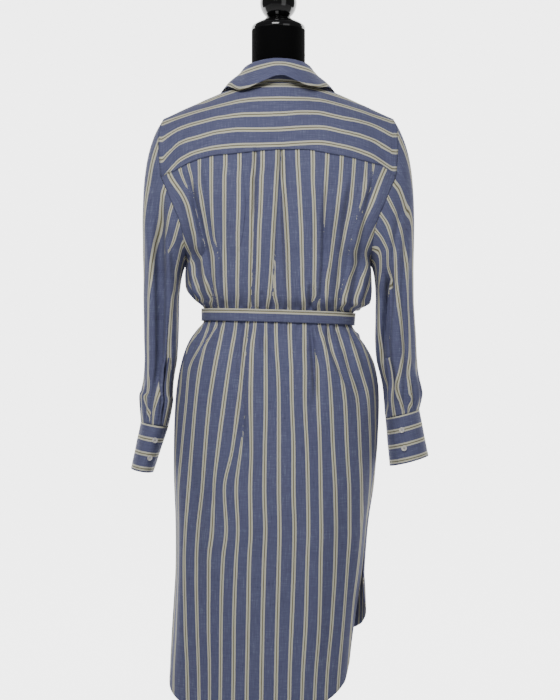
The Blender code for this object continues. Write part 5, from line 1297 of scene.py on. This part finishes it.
def knot_rings():
    """A tie knot: the belt's end wrapped over itself, its folds drawn in at both sides."""
    points, _ = skin_of("belt_knot")
    middle, half = (points.max(axis=0) + points.min(axis=0)) / 2, np.ptp(points, axis=0) / 2
    along = np.linspace(-1.0, 1.0, 33)[:, None]
    turn = np.linspace(0.0, 2.0 * math.pi, 49)[None, :-1]
    pinch = (1.0 - np.abs(along * 0.985) ** 3.2) ** 0.5 * 0.94 + 0.05
    folds = 1.0 + 0.07 * np.cos(along * 12.0 + 1.2 * np.sin(turn)) * (1 - along ** 4)
    slant = 0.20 * along * half[0]
    near, up = (np.sign(way) * np.abs(way) ** 0.8 for way in (np.cos(turn), np.sin(turn)))
    y = near * half[1] * pinch * folds * 0.97
    z = up * half[2] * pinch * (folds * 0.3 + 0.66)
    x = np.broadcast_to(along * half[0] * 0.99, y.shape)
    rings = np.stack([x, y, z + slant * 0.2], axis=-1) + middle
    wrap = half[0] * 1.3
    uv = np.stack([np.broadcast_to(along * wrap + STRIPE_STARTS["knot"], x.shape), z], axis=-1)
    ends = np.array([[-wrap, 0.0], [wrap, 0.0]])
    return rings, np.concatenate([uv.reshape(-1, 2), ends])


# ---------------------------------------------------------------- sewing thread
def seam_line(name, edge, inset, part):
    """A line a little inside a part of one edge of a sheet: its points and the way out."""
    if name not in SEWN:
        raise RuntimeError("%s has to be sewn before its stitching" % name)
    grid, normals, thick = SEWN[name]
    if edge in ("left", "right"):
        grid, normals = grid.swapaxes(0, 1), normals.swapaxes(0, 1)
    if edge in ("low", "right"):
        grid, normals = grid[::-1], normals[::-1]
    down = runs(grid, 0)
    first, last = (int(share * (grid.shape[1] - 1)) for share in part)
    line, ways = [], []
    for column in range(first, last + 1):
        place = np.interp(inset, down[:, column], np.arange(len(down)))
        low = min(int(place), len(grid) - 2)
        share = place - low
        way = normals[low, column] * (1 - share) + normals[low + 1, column] * share
        way = way / np.linalg.norm(way)
        point = grid[low, column] * (1 - share) + grid[low + 1, column] * share
        line.append(point + way * thick / 2)
        ways.append(way)
    return np.array(line), np.array(ways)


def stitch_boxes(lines, step=0.0031, long=0.0021, wide=0.00050, high=0.00030):
    """Short raised stitches along lines on the cloth."""
    corner = np.array([(-1, -0.6, -1), (-1, 0.6, -1), (1, 0.6, -1), (1, -0.6, -1),
                       (-0.8, -1, 0.2), (-0.8, 1, 0.2), (0.8, 1, 0.2), (0.8, -1, 0.2),
                       (-0.6, -0.5, 1), (-0.6, 0.5, 1), (0.6, 0.5, 1), (0.6, -0.5, 1)], float)
    shell = [(3, 2, 1, 0), (8, 9, 10, 11)]
    for low in (0, 4):
        shell += [(low + turn, low + (turn + 1) % 4, low + 4 + (turn + 1) % 4, low + 4 + turn)
                  for turn in range(4)]
    points, faces = [], []
    for line, ways in lines:
        run = np.concatenate(([0.0], np.cumsum(np.linalg.norm(np.diff(line, axis=0), axis=1))))
        places = np.arange(step, run[-1] - step, step)
        centre, up = line_at(places, run, line), line_at(places, run, ways)
        ahead = line_at(places + 0.0005, run, line) - centre
        ahead /= np.maximum(np.linalg.norm(ahead, axis=1, keepdims=True), 1e-9)
        aside = np.cross(up, ahead)
        aside /= np.maximum(np.linalg.norm(aside, axis=1, keepdims=True), 1e-9)
        for place, *ways in zip(centre, ahead * long / 2, aside * wide / 2, up * high):
            faces.append(np.array(shell) + len(points) * len(corner))
            points.append(place + corner @ np.array(ways))
    return np.concatenate(points), np.concatenate(faces)


WHOLE = ((0.0, 1.0),)
SEAMS = (            # piece, sheet, how far inside its edges, which edges, which parts of them
    ("yoke", "shoulder_yoke", 0.0030, ("low",), ((0.17, 0.83), (0.0, 0.17), (0.83, 1.0))),
    ("back_hem", "back_panel", 0.0060, ("low",), WHOLE),
    ("front_left_hem", "front_left_panel", 0.0060, ("low",), WHOLE),
    ("front_right_hem", "front_right_panel", 0.0060, ("low",), WHOLE),
    ("collar", "collar_leaf", 0.0050, ("low", "left", "right"), WHOLE),
    ("left_cuff", "left_cuff", 0.0030, ("high", "low", "left", "right"), WHOLE),
    ("left_placket", "left_sleeve_placket", 0.0022, ("left", "right"), WHOLE),
    ("right_cuff", "right_cuff", 0.0030, ("high", "low", "left", "right"), WHOLE),
    ("right_placket", "right_sleeve_placket", 0.0022, ("left", "right"), WHOLE),
    ("band", "front_band", 0.0040, ("left", "right"), WHOLE),
    ("belt", "belt_band", 0.0020, ("high", "low"), WHOLE),
)


def add_stitches(name, lines, **sizes):
    """A piece of all the stitches along some lines."""
    points, faces = stitch_boxes(lines, **sizes)
    material = bpy.data.materials.get("sewing thread") or sewing_thread()
    piece = add_piece(name, points, [faces], material, rounded=False)
    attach(piece, "root")


# ---------------------------------------------------------------- hard pieces
def start_edit():
    """Opens the active piece with all of it selected."""
    bpy.ops.object.mode_set(mode="EDIT")
    bpy.ops.mesh.select_all(action="SELECT")


def end_edit():
    """Turns the piece's faces outwards and closes it."""
    bpy.ops.mesh.select_all(action="SELECT")
    bpy.ops.mesh.normals_make_consistent(inside=False)
    bpy.ops.object.mode_set(mode="OBJECT")


def settle(name, node, material, angle):
    """The active hard piece, named, smoothed by angle and put in place of its solid."""
    piece = bpy.context.object
    piece.name = name
    bpy.ops.object.transform_apply(location=True, rotation=True, scale=True)
    bpy.ops.object.shade_smooth_by_angle(angle=math.radians(angle))
    piece.data.materials.clear()
    piece.data.materials.append(material)
    dress_piece(piece, node)


def turned(profile, sides):
    """A round piece, drawn out ring by ring from its foot: (radius, height) pairs."""
    bpy.ops.object.select_all(action="DESELECT")
    radius, height = profile[0]
    bpy.ops.mesh.primitive_circle_add(vertices=sides, radius=radius, fill_type="NGON",
                                      location=(0.0, 0.0, height))
    start_edit()
    for (before, low), (after, high) in zip(profile, profile[1:]):
        bpy.ops.mesh.extrude_region_move(TRANSFORM_OT_translate={"value": (0.0, 0.0, high - low)})
        bpy.ops.transform.resize(value=(after / before, after / before, 1.0),
                                 center_override=(0.0, 0.0, high))
    end_edit()


def profile_of(node):
    """The radius and height of each ring of a round solid."""
    points, _ = skin_of(node)
    radius = np.hypot(points[:, 0], points[:, 1])
    levels = np.unique(np.round(points[:, 2], 5))
    return [(float(radius[np.abs(points[:, 2] - level) < 2e-5].max()), float(level))
            for level in levels]


def rounder(profile, steps):
    """A profile read again at more places."""
    last = len(profile) - 1
    values = read_between(np.array(profile), np.linspace(0, last, last * steps + 1))
    return [(float(max(radius, 0.0004)), float(height)) for radius, height in values]


# ---------------------------------------------------------------- operators
class DRESS_OT_stage(Operator):
    """Floor, backdrop, lights and camera"""
    bl_idname = "shirt_dress.stage"
    bl_label = "Stage"

    def execute(self, context):
        values = settings().stage
        bpy.ops.object.select_all(action="DESELECT")
        bpy.ops.mesh.primitive_grid_add(x_subdivisions=2, y_subdivisions=40, size=1.0)
        floor = context.object
        floor.name = "backdrop"
        if len(floor.data.vertices) < 60:
            raise RuntimeError("the backdrop was not made")
        width, length, near, flat, bend = PAPER
        for vertex in floor.data.vertices:
            run = (0.5 - vertex.co.y) * length - near
            y, z = -run, 0.0
            if run > flat:
                turn = min((run - flat) / bend, math.pi / 2)
                y = -flat - bend * math.sin(turn)
                z = bend * (1.0 - math.cos(turn)) + max(0.0, run - flat - bend * math.pi / 2)
            vertex.co = (vertex.co.x * width, y, z)
        floor.data.shade_smooth()
        tree = Tree("seamless paper")
        place = tree.place()
        tooth = tree.noise(place, 220.0, 2.0)
        deep = tree.node("ShaderNodeSeparateXYZ", None, {0: place}, output=1)
        behind = 1.0 - deep.ramp(-1.35, -0.55)
        glow = tree.mix(behind, (0.06, 0.06, 0.06), (1.0, 1.0, 1.0))
        tree.put(tree.shader.inputs["Emission Color"], glow)
        tree.finish(tree.mix(tooth, (0.20, 0.20, 0.20), (0.21, 0.21, 0.21)), 1.0,
                    Specular_IOR_Level=0.0, Emission_Strength=values.backdrop)
        floor.data.materials.append(tree.material)
        for name, place, aim, power, size in (
                ("main light", (0.45, 2.0, 2.45), (0.0, 0.0, 1.15), values.key, (1.0, 1.0)),
                ("fill light", (-1.6, 2.4, 1.3), (0.0, 0.0, 0.95), values.fill, (1.4, 1.8)),
                ("front light", (0.4, -2.6, 2.4), (0.0, 0.0, 1.0), values.front, (2.0, 2.0))):
            bpy.ops.object.light_add(type="AREA", location=place)
            light = context.object
            light.name = name
            light.data.shape = "RECTANGLE"
            light.data.energy = power
            light.data.size, light.data.size_y = size
            way = Vector(aim) - Vector(place)
            light.rotation_euler = way.to_track_quat("-Z", "Y").to_euler()
        world = bpy.data.worlds.new("room")
        world.use_nodes = True
        world.node_tree.nodes["Background"].inputs[0].default_value = (1.0, 1.0, 1.0, 1.0)
        world.node_tree.nodes["Background"].inputs[1].default_value = values.world
        context.scene.world = world
        bpy.ops.object.camera_add(location=(VIEW_ACROSS, VIEW_DISTANCE, VIEW_HEIGHT),
                                  rotation=(math.radians(90.0), 0.0, math.radians(180.0)))
        camera = context.object
        camera.data.sensor_fit = "VERTICAL"
        camera.data.sensor_height, camera.data.lens = SENSOR, LENS
        context.scene.camera = camera
        return {"FINISHED"}


class DRESS_OT_back(Operator):
    """The back panel with its box pleat"""
    bl_idname = "shirt_dress.back"
    bl_label = "Back panel"

    def execute(self, context):
        sew_sheet("back_panel", "back", *back_sheet(), folded=True)
        return {"FINISHED"}


class DRESS_OT_yoke(Operator):
    """The yoke over both shoulders, its stripes running across"""
    bl_idname = "shirt_dress.yoke"
    bl_label = "Yoke"

    def execute(self, context):
        sew_sheet("shoulder_yoke", "yoke", *yoke_sheet())
        return {"FINISHED"}


STAND_DROP = 0.0060                       # how far the stand is let down behind
STAND_ROWS = np.array((2.6, 1.8, 1.2))    # shares of the neck seam's drop, from its top row
ROLL_TAKES = 0.18                         # share of the leaf's measure that its roll takes up


class DRESS_OT_collar(Operator):
    """The collar's stand and its turned-down leaf"""
    bl_idname = "shirt_dress.collar"
    bl_label = "Collar"

    def execute(self, context):
        wall = wall_grid("collar_stand")
        height = float(runs(wall, 0)[-1].mean())
        lower = STAND_DROP * smooth(wall[..., 1], -0.060, 0.0)
        wall[..., 2] -= neck_drop(wall) * STAND_ROWS[:, None] + lower
        sew_sheet("neck_stand", "collar_stand", *strip_sheet("stand", wall, shift=-height))
        grid = finer(wall_grid("collar"), *GRIDS["collar"])
        down, across = runs(grid, 0), runs(grid, 1)
        roll = np.argmax(grid[..., 2], axis=0)
        grid = settled_collar(grid, roll)
        normals = grid_normals(grid, inside=NECK)
        fold = np.take_along_axis(down, roll[None, :], axis=0)
        leaf = smooth(down - fold, 0.008, 0.020) * smooth(down[-1:] - down, 0.0, 0.008)
        grid = pushed(grid, normals, wrinkles(grid, "collar") * leaf)
        # the roll takes up cloth behind the neck, so one stripe shows on the leaf there
        ease = 1.0 - ROLL_TAKES * smooth(grid[..., 1], -0.01, 0.05)
        uv = np.stack([(down - fold.mean()) * ease + STRIPE_STARTS["collar"], across], axis=-1)
        sew_sheet("collar_leaf", "collar", grid, normals, uv)
        return {"FINISHED"}


class DRESS_OT_sleeves(Operator):
    """Both sleeves with the strip over each slit"""
    bl_idname = "shirt_dress.sleeves"
    bl_label = "Sleeves"

    def execute(self, context):
        for side, sign in SIDES:
            sew_sheet("%s_sleeve" % side, "sleeve_" + side, *sleeve_sheet(side, sign),
                      closed=True, folded=True)
            node = "sleeve_placket_" + side
            sew_sheet("%s_sleeve_placket" % side, node,
                      *strip_sheet("placket", wall_grid(node), along_rows=False))
        return {"FINISHED"}


class DRESS_OT_cuffs(Operator):
    """Both cuffs, lapped and buttoned"""
    bl_idname = "shirt_dress.cuffs"
    bl_label = "Cuffs"

    def execute(self, context):
        for side, _ in SIDES:
            node = "cuff_" + side
            sew_sheet("%s_cuff" % side, node, *strip_sheet("cuff", wall_grid(node)))
        return {"FINISHED"}


class DRESS_OT_fronts(Operator):
    """Both fronts and the button band"""
    bl_idname = "shirt_dress.fronts"
    bl_label = "Fronts"

    def execute(self, context):
        for side, sign in SIDES:
            sew_sheet("front_%s_panel" % side, "front_" + side, *front_sheet(side, sign))
        sew_sheet("front_band", "button_band", *band_sheet())
        return {"FINISHED"}


END_CURL = 0.0008         # how far the belt's ends curl across


class DRESS_OT_belt(Operator):
    """The narrow belt, its knot and both ends"""
    bl_idname = "shirt_dress.belt"
    bl_label = "Belt"

    def execute(self, context):
        sew_sheet("belt_band", "belt", *strip_sheet("belt", wall_grid("belt")),
                  thick=BELT_CLOTH)
        for side, _ in SIDES:
            grid = finer(wall_grid("belt_tail_" + side), *GRIDS["belt_tail"])
            normals = grid_normals(grid, inside=INSIDE)
            down, across = runs(grid, 0), runs(grid, 1)
            curl = np.cos((across / across[:, -1:] - 0.5) * 5.0) * smooth(down, 0.01, 0.06)
            grid = pushed(grid, normals, END_CURL * (curl - 0.3))
            uv = np.stack([across + STRIPE_STARTS["belt_tail"], down], axis=-1)
            sew_sheet("belt_%s_end" % side, "belt_tail_" + side, grid, normals, uv,
                      thick=BELT_CLOTH)
        rings, uv = knot_rings()
        dress_piece(sew_pod("belt_tie_knot", rings, cloth_material(), uv), "belt_knot")
        return {"FINISHED"}


BUTTON_PROFILE = ((0.80, -0.50), (0.97, -0.36), (1.0, -0.12), (1.0, 0.18), (0.96, 0.40),
                  (0.88, 0.50), (0.78, 0.48), (0.68, 0.30), (0.60, 0.22))
HOLE_PLACE, HOLE_RADIUS = 0.27, 0.105     # shares of the button's radius
HALF_DIAGONAL = 0.7071
THREAD_STEP = 0.19                        # so that one stitch lies between two holes
WRIST = (0.235, -0.012)                   # the middle of a cuff, across and front to back


class DRESS_OT_buttons(Operator):
    """One four-hole button, sewn on wherever a solid marks a button"""
    bl_idname = "shirt_dress.buttons"
    bl_label = "Buttons"

    def execute(self, context):
        values = settings().button
        radius, thick = values.radius, values.thick
        turned([(radius * out, thick * up) for out, up in BUTTON_PROFILE], sides=64)
        disc = context.object
        for turn in range(4):
            angle = math.radians(45.0 + 90.0 * turn)
            reach = radius * HOLE_PLACE
            bpy.ops.mesh.primitive_cylinder_add(
                vertices=20, radius=radius * HOLE_RADIUS, depth=thick * 3,
                location=(math.cos(angle) * reach, math.sin(angle) * reach, 0.0))
            drill = context.object
            bpy.ops.object.select_all(action="DESELECT")
            context.view_layer.objects.active = disc
            disc.select_set(True)
            hole = disc.modifiers.new("hole", "BOOLEAN")
            hole.operation = "DIFFERENCE"
            hole.solver = "EXACT"
            hole.object = drill
            bpy.ops.object.modifier_apply(modifier=hole.name)
            bpy.data.objects.remove(drill)
        if len(disc.data.vertices) < 400:
            raise RuntimeError("the button's holes were not cut")
        bpy.ops.object.transform_apply(location=True, rotation=True, scale=True)
        bpy.ops.object.shade_smooth_by_angle(angle=math.radians(40.0))
        pearl = pearl_button(values)
        threads = []
        for node in sorted(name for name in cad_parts
                           if "_button_" in name and name != "button_band"):
            points, _ = skin_of(node)
            middle = points.mean(axis=0)
            spread = points - middle
            out = np.linalg.eigh(spread.T @ spread)[1][:, 0]
            away = np.array([0.0, -1.0, 0.0])
            if not node.startswith("front"):
                away = middle - np.array([np.sign(middle[0]) * WRIST[0], WRIST[1], middle[2]])
            if np.dot(out, away) < 0.0:
                out = -out
            side = np.cross([0.0, 0.0, 1.0], out)
            side /= np.linalg.norm(side)
            up = np.cross(out, side)
            turn = np.stack([side, up, out], axis=1)
            mesh = disc.data.copy()
            mesh.name = "sewn_" + node
            corners = np.empty(len(mesh.vertices) * 3)
            mesh.vertices.foreach_get("co", corners)
            mesh.vertices.foreach_set("co", (corners.reshape(-1, 3) @ turn.T + middle).ravel())
            mesh.materials.clear()
            mesh.materials.append(pearl)
            mesh.update()
            piece = bpy.data.objects.new("sewn_" + node, mesh)
            context.scene.collection.objects.link(piece)
            dress_piece(piece, node)
            hole = radius * HOLE_PLACE * HALF_DIAGONAL
            top = middle + out * thick * 0.25
            for x in (-hole, hole):
                ends = np.array([top + side * x - up * hole, top + side * x + up * hole])
                threads.append((ends, np.array([out, out])))
        bpy.data.objects.remove(disc)
        add_stitches("button_thread", threads, step=radius * THREAD_STEP, wide=0.0006)
        return {"FINISHED"}


TORSO_GRID = (69, 110)
TORSO_MIDDLE = 0.003      # the middle of the torso, front to back


class DRESS_OT_form(Operator):
    """The limbless form, its neck, cap, finial, pole and base"""
    bl_idname = "shirt_dress.form"
    bl_label = "Dress form"

    def execute(self, context):
        values = settings().form
        cover, gloss, metal = cover_cloth(values), black_lacquer(values), powder_coat(values)
        points, _ = skin_of("form_torso")
        levels = np.unique(np.round(points[:, 2], 4))
        rings = []
        for level in levels:
            ring = points[np.abs(points[:, 2] - level) < 2e-4]
            turn = np.arctan2(ring[:, 1] - TORSO_MIDDLE, ring[:, 0])
            rings.append(ring[np.argsort(turn)])
        rings = np.array(rings)
        rows, cols = TORSO_GRID
        heights = np.concatenate((levels[:2], np.linspace(levels[2], levels[-2], rows - 3),
                                  levels[-1:]))
        tall = np.stack([[pchip(levels, rings[:, column, axis], heights) for axis in range(3)]
                         for column in range(rings.shape[1])]).transpose(2, 0, 1)
        torso = sew_pod("form_torso_cover", finer(tall, rows, cols, closed=True), cover)
        dress_piece(torso, "form_torso")
        for name, node, steps, sides, angle, material, slot in (
                ("form_neck_cover", "form_neck", 1, 96, 35.0, cover, "black_form_cover"),
                ("neck_cap", "form_cap", 5, 96, 35.0, gloss, "black_gloss"),
                ("finial", "form_finial", 5, 96, 50.0, gloss, "black_gloss"),
                ("pole", "form_pole", 1, 64, 35.0, metal, "black_metal"),
                ("base_plate", "form_base", 1, 160, 35.0, metal, "black_metal")):
            profile = profile_of(node)
            turned(rounder(profile, steps) if steps > 1 else profile, sides)
            settle(name, node, material, angle)
        return {"FINISHED"}


class DRESS_OT_stitching(Operator):
    """The topstitching along every sewn edge"""
    bl_idname = "shirt_dress.stitching"
    bl_label = "Stitching"

    def execute(self, context):
        for name, sheet, inset, edges, parts in SEAMS:
            add_stitches("%s_stitching" % name, [seam_line(sheet, edge, inset, part)
                                                 for edge in edges for part in parts])
        return {"FINISHED"}


class DRESS_OT_cuts(Operator):
    """An empty step: it makes nothing"""
    bl_idname = "shirt_dress.cuts"
    bl_label = "Cut sizes"

    def execute(self, context):
        return {"FINISHED"}


class DRESS_PT_panel(Panel):
    """The pieces of the dress, in the order they are made"""
    bl_idname = "DRESS_PT_panel"
    bl_label = "Shirt dress"
    bl_space_type = "VIEW_3D"
    bl_region_type = "UI"
    bl_category = "Dress"

    def draw(self, context):
        for maker in MAKERS:
            self.layout.operator(maker.bl_idname)


MAKERS = (DRESS_OT_stage, DRESS_OT_form, DRESS_OT_back, DRESS_OT_yoke, DRESS_OT_collar,
          DRESS_OT_sleeves, DRESS_OT_cuffs, DRESS_OT_fronts, DRESS_OT_belt, DRESS_OT_buttons,
          DRESS_OT_stitching, DRESS_OT_cuts)
GROUPS = (ClothSettings, ButtonSettings, FormSettings, StageSettings, DressSettings)


def register():
    for item in GROUPS + MAKERS + (DRESS_PT_panel,):
        bpy.utils.register_class(item)
    bpy.types.Scene.shirt_dress = PointerProperty(type=DressSettings)


def unregister():
    del bpy.types.Scene.shirt_dress
    for item in (DRESS_PT_panel,) + MAKERS[::-1] + GROUPS[::-1]:
        bpy.utils.unregister_class(item)


def main():
    register()
    for maker in MAKERS:
        group, name = maker.bl_idname.split(".")
        getattr(getattr(bpy.ops, group), name)()


if __name__ == "__main__":
    main()
